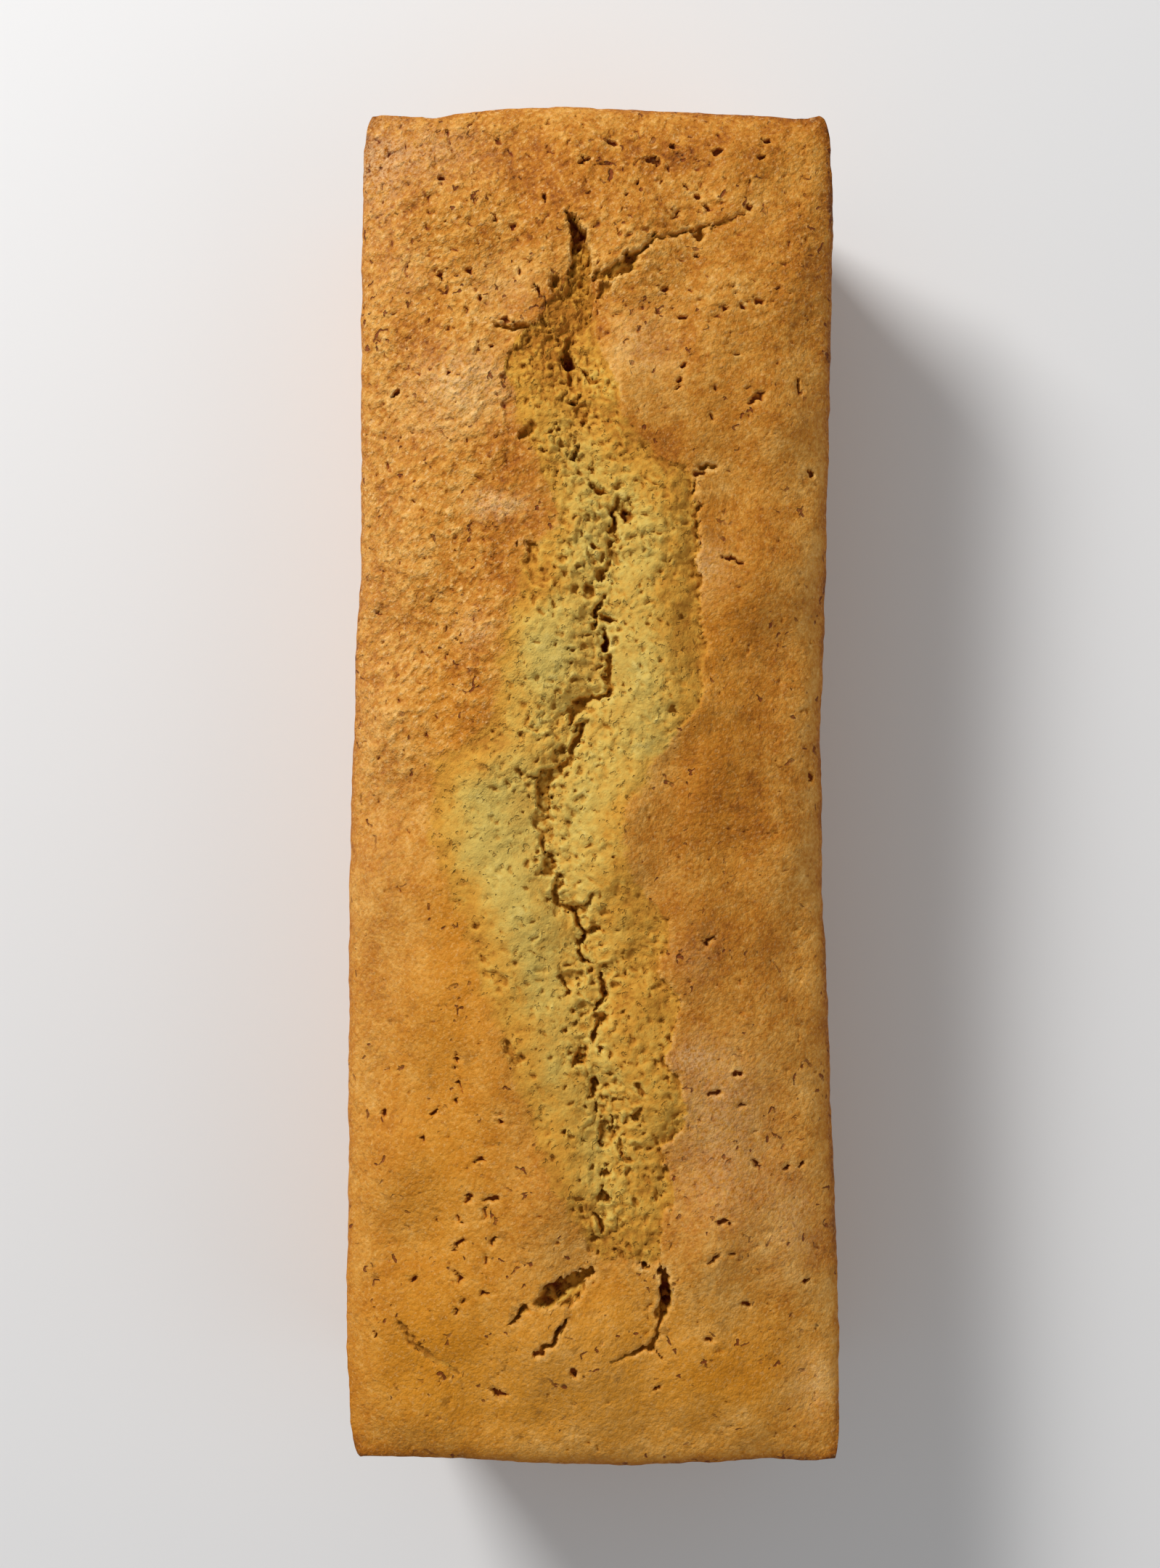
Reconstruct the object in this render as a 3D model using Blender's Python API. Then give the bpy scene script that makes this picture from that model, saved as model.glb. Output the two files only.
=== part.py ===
"""Sponge loaf cake with a burst crown: one closed solid, modelled in metres with +Z up.

The cake stands on its flat base at z = 0, centred on the origin, with its length along Y.
Its sides lean out from the base to the rim, the crown domes over the rim, and a long burst
runs down the crown: pale crumb between two torn crust edges, with a crack down its middle.
All sizes below are in millimetres.
"""
import math

import bmesh
import bpy
import numpy as np

MM = 0.001

# Driving sizes of the loaf
LENGTH = 290.0
RIM_HEIGHT = 57.0
END_RISE = 12.0
MIDDLE_RISE = 5.0
SIDE_LEAN = 6.0
END_LEAN = 7.0
SIDE_HOLLOW = 0.8
BASE_EDGE = 3.5

# Rim seen from above, as (along, across) for the long sides and (across, along) for the ends
LEFT_RIM = [(-143.5, -49.3), (-139, -50.3), (-133, -51.3), (-122, -52.2), (-111, -52.6), (-96, -52.2),
            (-41, -52.0), (-18, -52.0), (13, -50.9), (28, -50.5), (45, -49.5), (78, -49.5),
            (124, -49.1), (138, -48.1), (143, -46.9)]
RIGHT_RIM = [(-143.5, 51.7), (-132, 52.5), (-114, 52.7), (-98, 52.0), (-79, 51.3), (-60, 50.5), (-46, 50.2),
             (-26, 49.1), (-3, 48.9), (11, 48.5), (21, 48.9), (38, 49.6), (80, 50.5), (101, 51.1),
             (121, 51.3), (135, 50.5), (140, 49.5), (143, 48.2)]
FAR_RIM = [(-47, 142.8), (-44, 143.2), (-34, 142.6), (-28, 143.6), (-18, 144.6), (-6, 145.0), (14, 144.1),
           (36, 143.1), (44, 142.4), (46.5, 142.6), (48, 143.2)]
NEAR_RIM = [(-50, -143.0), (-28, -143.5), (-13, -144.5), (5, -145.0), (26, -144.4), (38, -143.4), (46, -144.2),
            (52, -143.4)]

# Lines of the burst, as (along, across): the middle crack and the torn crust edge on each side
CRACK_LINE = [(145, 0), (123.5, -6.9), (117, -3.6), (112, -3.2), (105, -4.7), (97, -3.5), (91.5, -5.9),
              (83, -4.5), (76, -2.6), (69, -3.6), (65, -0.3), (61, 2.3), (59, 4.9), (48, 4.7), (44, 1.7),
              (40, -0.7), (34, 3.5), (30, 2.4), (21, 3.2), (18, -1.6), (15, -5.3), (12, -3.0), (6, -5.9),
              (1, -10.2), (-4, -10.9), (-10, -10.0), (-16, -8.9), (-22, -8.1), (-26, -4.1), (-37, -1.5),
              (-40, 1.5), (-44, 2.9), (-48, 0.6), (-57, -2.2), (-63, 0.5), (-70, 2.9), (-75, 1.8),
              (-85, 2.6), (-89, 0.5), (-93, 1.5), (-103, 7.0), (-118, 0), (-145, 0)]
LEFT_TEAR_LINE = [(145, -24), (118, -14), (106, -8.2), (98, -10.9), (96, -13.8), (87, -18.8), (60, -17.7),
                  (34, -18.9), (21, -22.0), (9.5, -23.8), (5, -31.5), (-10, -32.3), (-18, -30.0),
                  (-40, -24.7), (-51, -18.8), (-59, -18.2), (-64.5, -13.0), (-72, -10.9), (-82, -10.1),
                  (-98, -2.5), (-102, 0), (-104.3, -4.4), (-107, -8.8), (-110, -14.0), (-113, -17.3),
                  (-145, -20)]
RIGHT_TEAR_LINE = [(145, 24), (116.4, 12.8), (112.6, 11.4), (110, 7.5), (107, 1.2), (99, 0.8), (88, 2.6),
                   (78, 5.0), (72, 9.6), (65, 20.3), (58, 22.2), (51, 21.3), (38, 23.1), (28, 23.4),
                   (16, 22.3), (6, 12.6), (-10, 5.8), (-19, 8.1), (-28, 16.4), (-35, 13.8), (-44, 17.2),
                   (-57, 15.3), (-62, 19.1), (-71, 18.7), (-75, 15.6), (-92, 16.0), (-99, 14.1),
                   (-108, 15.3), (-113, 14.7), (-119, 12.8), (-145, 22)]

# Depth and half width of each opening, as (along, size)
CRACK_DEPTH = [(125, 0), (120, 4.0), (114, 7.5), (105, 6.0), (97, 3.0), (88, 4.5), (76, 3.0), (60, 4.5),
               (40, 5.0), (30, 6.0), (20, 4.5), (8, 4.5), (0, 6.0), (-12, 7.0), (-22, 4.5), (-45, 5.5),
               (-57, 6.0), (-70, 4.5), (-85, 6.0), (-93, 3.0), (-99, 0)]
CRACK_HALF_WIDTH = [(125, 0.5), (117, 1.9), (110, 2.5), (104, 1.1), (96, 0.8), (88, 1.4), (76, 0.8),
                    (58, 1.0), (40, 1.2), (30, 1.1), (18, 1.4), (3, 1.2), (-4, 2.0), (-12, 2.1), (-19, 1.0),
                    (-40, 1.2), (-57, 1.6), (-70, 1.0), (-85, 1.7), (-95, 0.7)]
LEFT_TEAR_DEPTH = [(106, 0), (95, 0.8), (60, 0.5), (0, 0.3), (-60, 0.6), (-98, 0.8), (-102, 1.6),
                   (-106, 5.0), (-109, 4.0), (-113, 2.0), (-115, 0)]
LEFT_TEAR_HALF_WIDTH = [(95, 0.9), (-98, 0.9), (-103, 1.8), (-107, 2.8), (-110, 2.0), (-115, 0.8)]
RIGHT_TEAR_DEPTH = [(118, 0), (116, 2.5), (110, 5.0), (106, 1.8), (100, 0), (70, 0.4), (62, 1.8), (30, 1.8),
                    (12, 0.8), (0, 0.3), (-18, 0.2), (-28, 1.4), (-60, 1.8), (-95, 2.2), (-102, 4.5),
                    (-108, 7.0), (-112, 4.5), (-117, 2.5), (-121, 0)]
RIGHT_TEAR_HALF_WIDTH = [(116, 0.9), (110, 1.9), (104, 1.0), (-98, 1.0), (-108, 1.5), (-116, 0.8)]

# Round and torn hollows of the crumb and crust: across, along, half width, half length, depth
HOLLOWS = [(7.0, 57.0, 2.9, 2.6, 3.0), (-8.9, -16.0, 1.8, 2.2, 2.0), (-4.5, -40.5, 2.9, 2.9, 2.6),
           (-13.5, 73.8, 2.0, 2.2, 2.2), (9.9, -63.4, 1.8, 2.4, 2.2), (9.0, -68.6, 1.9, 1.8, 1.8),
           (22.3, 116.0, 2.0, 2.2, 1.6), (-20.3, -126.8, 2.4, 1.8, 1.6), (-10.9, -117.8, 2.2, 2.2, 1.6),
           (34.0, 80.0, 2.4, 2.2, 1.4), (-31.0, -115.0, 3.2, 3.0, 1.2)]
LONG_CREASE = [(-41, -113.5), (-37, -118), (-33, -121), (-28, -124), (-25, -127)]
CREASE_DEPTH = 1.1
CREASE_HALF_WIDTH = 1.6

# Relief of the crumb and crust beside the crack and the torn edges
CRUMB_SWELL = 1.6
CRACK_VALLEY_DEPTH = 2.2
CRACK_VALLEY_HALF_WIDTH = 5.5
TORN_LIP_RISE = 0.9
TORN_LIP_WIDTH = 1.6
UNEVEN_HEIGHT = 0.28
UNEVEN_WAVES = 14
UNEVEN_SEED = 31

# Rows and columns of the crown's mesh
ROWS = 120
CRUST_COLUMNS = 9
LEFT_CRUMB_COLUMNS = 4
RIGHT_CRUMB_COLUMNS = 5
FLOOR_SHARE = 0.35
EDGE_CROWDING = 1.25
WALL_LEVELS = (0.3, 0.62, 0.93)

CRUST_COLOUR = (0.48, 0.24, 0.055, 1.0)


def along_value(pairs, along, blur=0.0):
    """Reads a line given as (along, value) pairs, averaged over a short stretch each way."""
    ordered = sorted(pairs)
    places = [pair[0] for pair in ordered]
    values = [pair[1] for pair in ordered]
    steps = (-1.0, -0.5, 0.0, 0.5, 1.0)
    return sum(np.interp(along + step * blur, places, values) for step in steps) / len(steps)


def smooth_step(share):
    """Runs from 0 to 1 with flat ends."""
    share = np.clip(share, 0.0, 1.0)
    return share * share * (3.0 - 2.0 * share)


def crown_rise(across, along):
    """Height of the dome above the rim, from the place within the rim (-1 to 1 each way)."""
    rise = END_RISE + MIDDLE_RISE * (1.0 - along ** 2)
    dome = np.clip(1.0 - across ** 2, 0.0, 1.0) ** 0.6
    ends = np.clip(1.0 - np.abs(along) ** 6, 0.0, 1.0) ** 0.6
    return rise * dome * ends


def unevenness(x, y):
    """Slow swells of the crust, as a sum of seeded waves 16 to 45 mm long."""
    draw = np.random.default_rng(UNEVEN_SEED)
    height = np.zeros_like(x)
    for _ in range(UNEVEN_WAVES):
        heading, phase = draw.uniform(0.0, math.tau, 2)
        number = math.tau / draw.uniform(16.0, 45.0)
        height += np.sin(number * (x * math.cos(heading) + y * math.sin(heading)) + phase)
    return UNEVEN_HEIGHT * height


def opening(offset, depth, half_width):
    """Depth of a steep-sided groove at a sideways offset from its line."""
    share = (half_width - np.abs(offset)) / (half_width * (1.0 - FLOOR_SHARE))
    return depth * smooth_step(share)


def hollows(x, y):
    """Depth of the separate hollows and of the long crease near one corner."""
    depth = np.zeros_like(x)
    for across, along, half_width, half_length, deep in HOLLOWS:
        reach = ((x - across) / half_width) ** 2 + ((y - along) / half_length) ** 2
        depth = np.maximum(depth, deep * np.clip(1.0 - reach, 0.0, 1.0))
    for (x0, y0), (x1, y1) in zip(LONG_CREASE, LONG_CREASE[1:]):
        span = (x1 - x0) ** 2 + (y1 - y0) ** 2
        place = np.clip(((x - x0) * (x1 - x0) + (y - y0) * (y1 - y0)) / span, 0.0, 1.0)
        away = np.hypot(x - x0 - place * (x1 - x0), y - y0 - place * (y1 - y0))
        depth = np.maximum(depth, CREASE_DEPTH * np.clip(1.0 - away / CREASE_HALF_WIDTH, 0.0, 1.0))
    return depth


def crown_height(x, y, across, along):
    """Height of the crown's surface over the base, with the burst and its openings."""
    crack = along_value(CRACK_LINE, y)
    left = along_value(LEFT_TEAR_LINE, y)
    right = along_value(RIGHT_TEAR_LINE, y)
    edge_fade = smooth_step((1.0 - np.abs(across)) * 6.0) * smooth_step((1.0 - np.abs(along)) * 14.0)
    height = RIM_HEIGHT + crown_rise(across, along) + unevenness(x, y) * edge_fade

    burst_ends = smooth_step((y + 100.0) / 20.0) * smooth_step((106.0 - y) / 40.0)
    swell = smooth_step((x - left) / 9.0) * smooth_step((right - x) / 7.0)
    height += CRUMB_SWELL * swell * burst_ends
    valley = np.exp(-((x - crack) / CRACK_VALLEY_HALF_WIDTH) ** 2)
    height -= CRACK_VALLEY_DEPTH * valley * smooth_step((y + 104.0) / 12.0) * smooth_step((122.0 - y) / 10.0)

    right_depth = along_value(RIGHT_TEAR_DEPTH, y)
    left_depth = along_value(LEFT_TEAR_DEPTH, y)
    right_lip = np.exp(-((x - right - TORN_LIP_WIDTH) / TORN_LIP_WIDTH) ** 2)
    left_lip = np.exp(-((x - left + TORN_LIP_WIDTH) / TORN_LIP_WIDTH) ** 2)
    height += TORN_LIP_RISE * right_lip * np.clip(right_depth, 0.0, 1.0)
    height += TORN_LIP_RISE * left_lip * np.clip(left_depth, 0.0, 1.0)

    cuts = [opening(x - crack, along_value(CRACK_DEPTH, y), along_value(CRACK_HALF_WIDTH, y)),
            opening(x - left, left_depth, along_value(LEFT_TEAR_HALF_WIDTH, y)),
            opening(x - right, right_depth, along_value(RIGHT_TEAR_HALF_WIDTH, y)),
            hollows(x, y)]
    return height - np.maximum.reduce(cuts)


def crown_columns(y):
    """Places across the crown at each row, crowded onto the crack and the two torn edges."""
    crack = along_value(CRACK_LINE, y)
    left = along_value(LEFT_TEAR_LINE, y)
    right = along_value(RIGHT_TEAR_LINE, y)
    crack_half = along_value(CRACK_HALF_WIDTH, y)
    left_half = along_value(LEFT_TEAR_HALF_WIDTH, y)
    right_half = along_value(RIGHT_TEAR_HALF_WIDTH, y)
    left_rim = along_value(LEFT_RIM, y, 2.0)
    right_rim = along_value(RIGHT_RIM, y, 2.0)
    columns = []
    for share in np.linspace(0.0, 1.0, CRUST_COLUMNS) ** EDGE_CROWDING:
        columns.append(left_rim + share * (left - left_half - left_rim))
    columns.append(left)
    for share in np.linspace(0.0, 1.0, LEFT_CRUMB_COLUMNS):
        start = left + left_half
        columns.append(start + share * (crack - crack_half - start))
    columns.append(crack - FLOOR_SHARE * crack_half)
    columns.append(crack + FLOOR_SHARE * crack_half)
    for share in np.linspace(0.0, 1.0, RIGHT_CRUMB_COLUMNS):
        start = crack + crack_half
        columns.append(start + share * (right - right_half - start))
    columns.append(right)
    for share in 1.0 - np.linspace(1.0, 0.0, CRUST_COLUMNS) ** EDGE_CROWDING:
        start = right + right_half
        columns.append(start + share * (right_rim - start))
    return np.array(columns)


def crown_points():
    """The crown's grid of points, from the near end to the far end."""
    middle_rows = np.linspace(-LENGTH / 2, LENGTH / 2, ROWS)
    x = crown_columns(middle_rows).T
    near = along_value(NEAR_RIM, x[0], 1.5)
    far = along_value(FAR_RIM, x[-1], 1.5)
    share = np.linspace(0.0, 1.0, ROWS)[:, None]
    blend = np.abs(2.0 * share - 1.0) ** 8
    straight = middle_rows[:, None]
    bowed = np.where(share < 0.5, near[None, :], far[None, :])
    y = straight * (1.0 - blend) + bowed * blend
    left_rim = x[:, :1]
    right_rim = x[:, -1:]
    across = 2.0 * (x - left_rim) / (right_rim - left_rim) - 1.0
    along = 2.0 * share - 1.0 + np.zeros_like(x)
    return x, y, crown_height(x, y, across, along)


def rim_walk(rows, columns):
    """Grid places round the crown's edge, anticlockwise seen from above."""
    near = [(0, column) for column in range(columns)]
    right = [(row, columns - 1) for row in range(1, rows)]
    far = [(rows - 1, column) for column in range(columns - 2, -1, -1)]
    left = [(row, 0) for row in range(rows - 2, 0, -1)]
    return near + right + far + left


def wall_ring(mesh, rim, height_share, edge):
    """One ring of points round the sides, a share of the way down from the rim to the base."""
    half_width = max(abs(vert.co.x) for vert in rim)
    half_length = max(abs(vert.co.y) for vert in rim)
    hollow = SIDE_HOLLOW * math.sin(math.pi * height_share)
    across = 1.0 - (SIDE_LEAN * height_share + hollow + edge) * MM / half_width
    along = 1.0 - (END_LEAN * height_share + hollow + edge) * MM / half_length
    ring = []
    for vert in rim:
        place = (vert.co.x * across, vert.co.y * along, vert.co.z * (1.0 - height_share))
        ring.append(mesh.verts.new(place))
    return ring


def bridge(mesh, upper, lower):
    """Joins two rings with the same number of points by a band of quads."""
    for place, vert in enumerate(upper):
        after = (place + 1) % len(upper)
        mesh.faces.new((vert, lower[place], lower[after], upper[after]))


def build_cake():
    """Builds the crown, the leaning sides and the flat base as one closed mesh."""
    x, y, z = crown_points()
    middle_x = (x.max() + x.min()) / 2
    middle_y = (y.max() + y.min()) / 2
    rows, columns = x.shape
    mesh = bmesh.new()
    grid = [[mesh.verts.new(((x[row, column] - middle_x) * MM, (y[row, column] - middle_y) * MM,
                             z[row, column] * MM)) for column in range(columns)] for row in range(rows)]
    for row in range(rows - 1):
        for column in range(columns - 1):
            mesh.faces.new((grid[row][column], grid[row][column + 1],
                            grid[row + 1][column + 1], grid[row + 1][column]))
    rim = [grid[row][column] for row, column in rim_walk(rows, columns)]
    upper = rim
    for level in WALL_LEVELS:
        lower = wall_ring(mesh, rim, level, 0.0)
        bridge(mesh, upper, lower)
        upper = lower
    base = wall_ring(mesh, rim, 1.0, BASE_EDGE)
    bridge(mesh, upper, base)
    mesh.faces.new(reversed(base))
    bmesh.ops.recalc_face_normals(mesh, faces=mesh.faces)

    data = bpy.data.meshes.new("cake")
    mesh.to_mesh(data)
    mesh.free()
    data.shade_smooth()
    return data


def crust_material():
    """Browned crust, matt and slightly rough."""
    material = bpy.data.materials.new("browned crust")
    material.use_nodes = True
    shader = material.node_tree.nodes["Principled BSDF"]
    shader.inputs["Base Color"].default_value = CRUST_COLOUR
    shader.inputs["Roughness"].default_value = 0.75
    shader.inputs["Metallic"].default_value = 0.0
    return material


for old in list(bpy.data.objects):
    bpy.data.objects.remove(old)

cake_mesh = build_cake()
cake_mesh.materials.append(crust_material())
cake = bpy.data.objects.new("cake", cake_mesh)
bpy.context.scene.collection.objects.link(cake)
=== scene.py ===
import math

import bpy
import numpy as np
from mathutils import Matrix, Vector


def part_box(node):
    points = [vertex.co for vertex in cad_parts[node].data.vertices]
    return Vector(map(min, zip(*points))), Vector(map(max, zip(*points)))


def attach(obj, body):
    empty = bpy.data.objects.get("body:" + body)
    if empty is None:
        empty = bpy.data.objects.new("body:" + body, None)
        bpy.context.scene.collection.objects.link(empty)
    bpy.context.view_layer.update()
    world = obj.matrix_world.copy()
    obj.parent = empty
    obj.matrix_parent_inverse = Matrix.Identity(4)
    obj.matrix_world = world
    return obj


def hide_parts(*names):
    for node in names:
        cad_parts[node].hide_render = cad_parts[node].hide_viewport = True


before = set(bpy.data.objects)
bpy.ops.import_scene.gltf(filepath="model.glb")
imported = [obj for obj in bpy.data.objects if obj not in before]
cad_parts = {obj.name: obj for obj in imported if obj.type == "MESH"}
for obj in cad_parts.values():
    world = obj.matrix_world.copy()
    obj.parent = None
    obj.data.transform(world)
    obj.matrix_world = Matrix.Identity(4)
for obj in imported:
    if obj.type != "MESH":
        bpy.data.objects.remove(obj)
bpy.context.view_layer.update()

# The loaf as it leaves the tin
# Sponge batter set in a slim loaf tin: leaning sides, a flat base and a rim where the batter met
# the tin's lip. The crown rose over the rim and domed along the middle. Sizes are in millimetres.
MM = 0.001
cake_low, cake_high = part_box("cake")
LENGTH = (cake_high[1] - cake_low[1]) / MM
RIM_HEIGHT = 57.0
END_RISE = 12.0
MIDDLE_RISE = 5.0
SIDE_LEAN = 6.0
END_LEAN = 7.0
SIDE_HOLLOW = 0.8
BASE_EDGE_WIDTH = 3.5
BASE_EDGE_HEIGHT = 4.0
LEFT_RIM = [
    (-143.5, -49.3), (-139, -50.3), (-133, -51.3), (-122, -52.2), (-111, -52.6), (-96, -52.2), (-41, -52),
    (-18, -52), (13, -50.9), (28, -50.5), (45, -49.5), (78, -49.5), (124, -49.1), (138, -48.1),
    (143, -46.9)]
RIGHT_RIM = [
    (-143.5, 51.7), (-132, 52.5), (-114, 52.7), (-98, 52), (-79, 51.3), (-60, 50.5), (-46, 50.2),
    (-26, 49.1), (-3, 48.9), (11, 48.5), (21, 48.9), (38, 49.6), (80, 50.5), (101, 51.1), (121, 51.3),
    (135, 50.5), (140, 49.5), (143, 48.2)]
FAR_RIM = [
    (-47, 142.8), (-44, 143.2), (-34, 142.6), (-28, 143.6), (-18, 144.6), (-6, 145), (14, 144.1),
    (36, 143.1), (44, 142.4), (46.5, 142.6), (48, 143.2)]
NEAR_RIM = [
    (-50, -143), (-28, -143.5), (-13, -144.5), (5, -145), (26, -144.4), (38, -143.4), (46, -144.2),
    (52, -143.4)]


def read_line(pairs, along, blur=0.0):
    """Reads a line given as (along, value) pairs, averaged over a short stretch each way."""
    ordered = sorted(pairs)
    places = [pair[0] for pair in ordered]
    values = [pair[1] for pair in ordered]
    steps = (-1.0, -0.5, 0.0, 0.5, 1.0)
    return sum(np.interp(along + step * blur, places, values) for step in steps) / len(steps)


def ease(share):
    """Runs from 0 to 1 with flat ends."""
    share = np.clip(share, 0.0, 1.0)
    return share * share * (3.0 - 2.0 * share)


def ripple(x, y, width, seed):
    """Soft random swells and dips, about -1 to 1 high and a given number of millimetres wide."""
    lattice = np.random.default_rng(seed).uniform(0.0, math.tau, (512, 512))
    u = x / width
    v = y / width
    column = np.floor(u).astype(int)
    row = np.floor(v).astype(int)
    u = u - column
    v = v - row

    def corner(right, up):
        turn = lattice[(row + up) & 511, (column + right) & 511]
        return np.cos(turn) * (u - right) + np.sin(turn) * (v - up)

    blend_u = u * u * u * (u * (u * 6.0 - 15.0) + 10.0)
    blend_v = v * v * v * (v * (v * 6.0 - 15.0) + 10.0)
    lower = corner(0, 0) * (1.0 - blend_u) + corner(1, 0) * blend_u
    upper = corner(0, 1) * (1.0 - blend_u) + corner(1, 1) * blend_u
    return 1.6 * (lower * (1.0 - blend_v) + upper * blend_v)


def crown_places(x, y):
    """Where a point lies within the rim: -1 to 1 across and along the loaf."""
    left = read_line(LEFT_RIM, y, 2.0)
    right = read_line(RIGHT_RIM, y, 2.0)
    near = read_line(NEAR_RIM, x, 1.5)
    far = read_line(FAR_RIM, x, 1.5)
    across = np.clip(2.0 * (x - left) / (right - left) - 1.0, -1.0, 1.0)
    along = np.clip(2.0 * (y - near) / (far - near) - 1.0, -1.0, 1.0)
    return across, along


def dome(x, y):
    """Height of the risen crown over the base, before it tore, with its slow swells."""
    across, along = crown_places(x, y)
    rise = END_RISE + MIDDLE_RISE * (1.0 - along ** 2)
    height = rise * (1.0 - across ** 2) ** 0.6 * (1.0 - np.abs(along) ** 6) ** 0.6
    draw = np.random.default_rng(31)
    swell = np.zeros_like(x)
    for _ in range(14):
        heading, phase = draw.uniform(0.0, math.tau, 2)
        number = math.tau / draw.uniform(16.0, 45.0)
        swell += np.sin(number * (x * math.cos(heading) + y * math.sin(heading)) + phase)
    fade = ease((1.0 - np.abs(across)) * 6.0) * ease((1.0 - np.abs(along)) * 14.0)
    return RIM_HEIGHT + height + 0.28 * swell * fade


# The burst down the crown
# Where the rising batter split the set skin, the crust tore into two ragged edges and pale crumb
# swelled up between them, then cracked down its own middle. Lines are (along, across) pairs.
CRACK_LINE = [
    (145, 0), (123.5, -6.9), (117, -3.6), (112, -3.2), (105, -4.7), (97, -3.5), (91.5, -5.9), (83, -4.5),
    (76, -2.6), (69, -3.6), (65, -0.3), (61, 2.3), (59, 4.9), (48, 4.7), (44, 1.7), (40, -0.7), (34, 3.5),
    (30, 2.4), (21, 3.2), (18, -1.6), (15, -5.3), (12, -3), (6, -5.9), (1, -10.2), (-4, -10.9),
    (-10, -10), (-16, -8.9), (-22, -8.1), (-26, -4.1), (-37, -1.5), (-40, 1.5), (-44, 2.9), (-48, 0.6),
    (-57, -2.2), (-63, 0.5), (-70, 2.9), (-75, 1.8), (-85, 2.6), (-89, 0.5), (-93, 1.5), (-103, 7),
    (-118, 0), (-145, 0)]
LEFT_TEAR_LINE = [
    (145, -24), (118, -14), (106, -8.2), (98, -10.9), (96, -13.8), (87, -18.8), (60, -17.7), (34, -18.9),
    (21, -22), (9.5, -23.8), (5, -31.5), (-10, -32.3), (-18, -30), (-40, -24.7), (-51, -18.8),
    (-59, -18.2), (-64.5, -13), (-72, -10.9), (-82, -10.1), (-98, -2.5), (-102, 0), (-104.3, -4.4),
    (-107, -8.8), (-110, -14), (-113, -17.3), (-145, -20)]
RIGHT_TEAR_LINE = [
    (145, 24), (116.4, 12.8), (112.6, 11.4), (110, 7.5), (107, 1.2), (99, 0.8), (88, 2.6), (78, 5),
    (72, 9.6), (65, 20.3), (58, 22.2), (51, 21.3), (38, 23.1), (28, 23.4), (16, 22.3), (6, 12.6),
    (-10, 5.8), (-19, 8.1), (-28, 16.4), (-35, 13.8), (-44, 17.2), (-57, 15.3), (-62, 19.1), (-71, 18.7),
    (-75, 15.6), (-92, 16), (-99, 14.1), (-108, 15.3), (-113, 14.7), (-119, 12.8), (-145, 22)]
RIGHT_STEP = [
    (112, 0), (104, 1), (98, 0.5), (74, 0.3), (66, 1), (60, 1.3), (44, 1.3), (30, 1), (20, 0.5),
    (14, 0.2), (-20, 0.1), (-28, 0.9), (-40, 1), (-50, 1), (-72, 0.8), (-98, 1), (-104, 0)]
LEFT_STEP = [(109, 0), (105, 0.9), (90, 1.2), (80, 0.8), (66, 0.5), (58, 0)]
SKIN_END = [
    (110, -6), (104, -8.5), (98, -11), (96, -14), (92, -16.5), (87, -18.5), (80, -16), (72, -13), (61, -8),
    (55, -7), (51, -11), (47, -15.5), (40, -15.5), (37, -17), (25, -20), (15, -20.5), (9, -26), (5, -33),
    (-10, -34), (-20, -31), (-27, -27), (-40, -24.5), (-52, -19), (-62, -16), (-72, -12), (-84, -8),
    (-98, 0), (-106, 3)]
PALE_LEFT = [
    (90, -9), (86, -12), (78, -13), (70, -11), (62, -6), (54, -6), (50, -8.5), (44, -6), (40, -8),
    (36, -14), (28, -17), (14, -17), (9, -19), (4, -24), (-1, -29), (-10, -30), (-18, -27), (-25, -22),
    (-40, -15.5), (-55, -10.5), (-70, -7), (-86, -2.5), (-97, 2)]
PALE_RIGHT = [
    (90, -7), (84, -3), (76, 1), (68, 4.5), (63, 11), (56, 15), (48, 15), (42, 12), (36, 14), (22, 16),
    (14, 18), (8, 16), (3, 11), (-6, 4), (-24, 3), (-31, 3), (-45, 4), (-56, 5), (-72, 8), (-88, 7),
    (-97, 5)]
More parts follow.
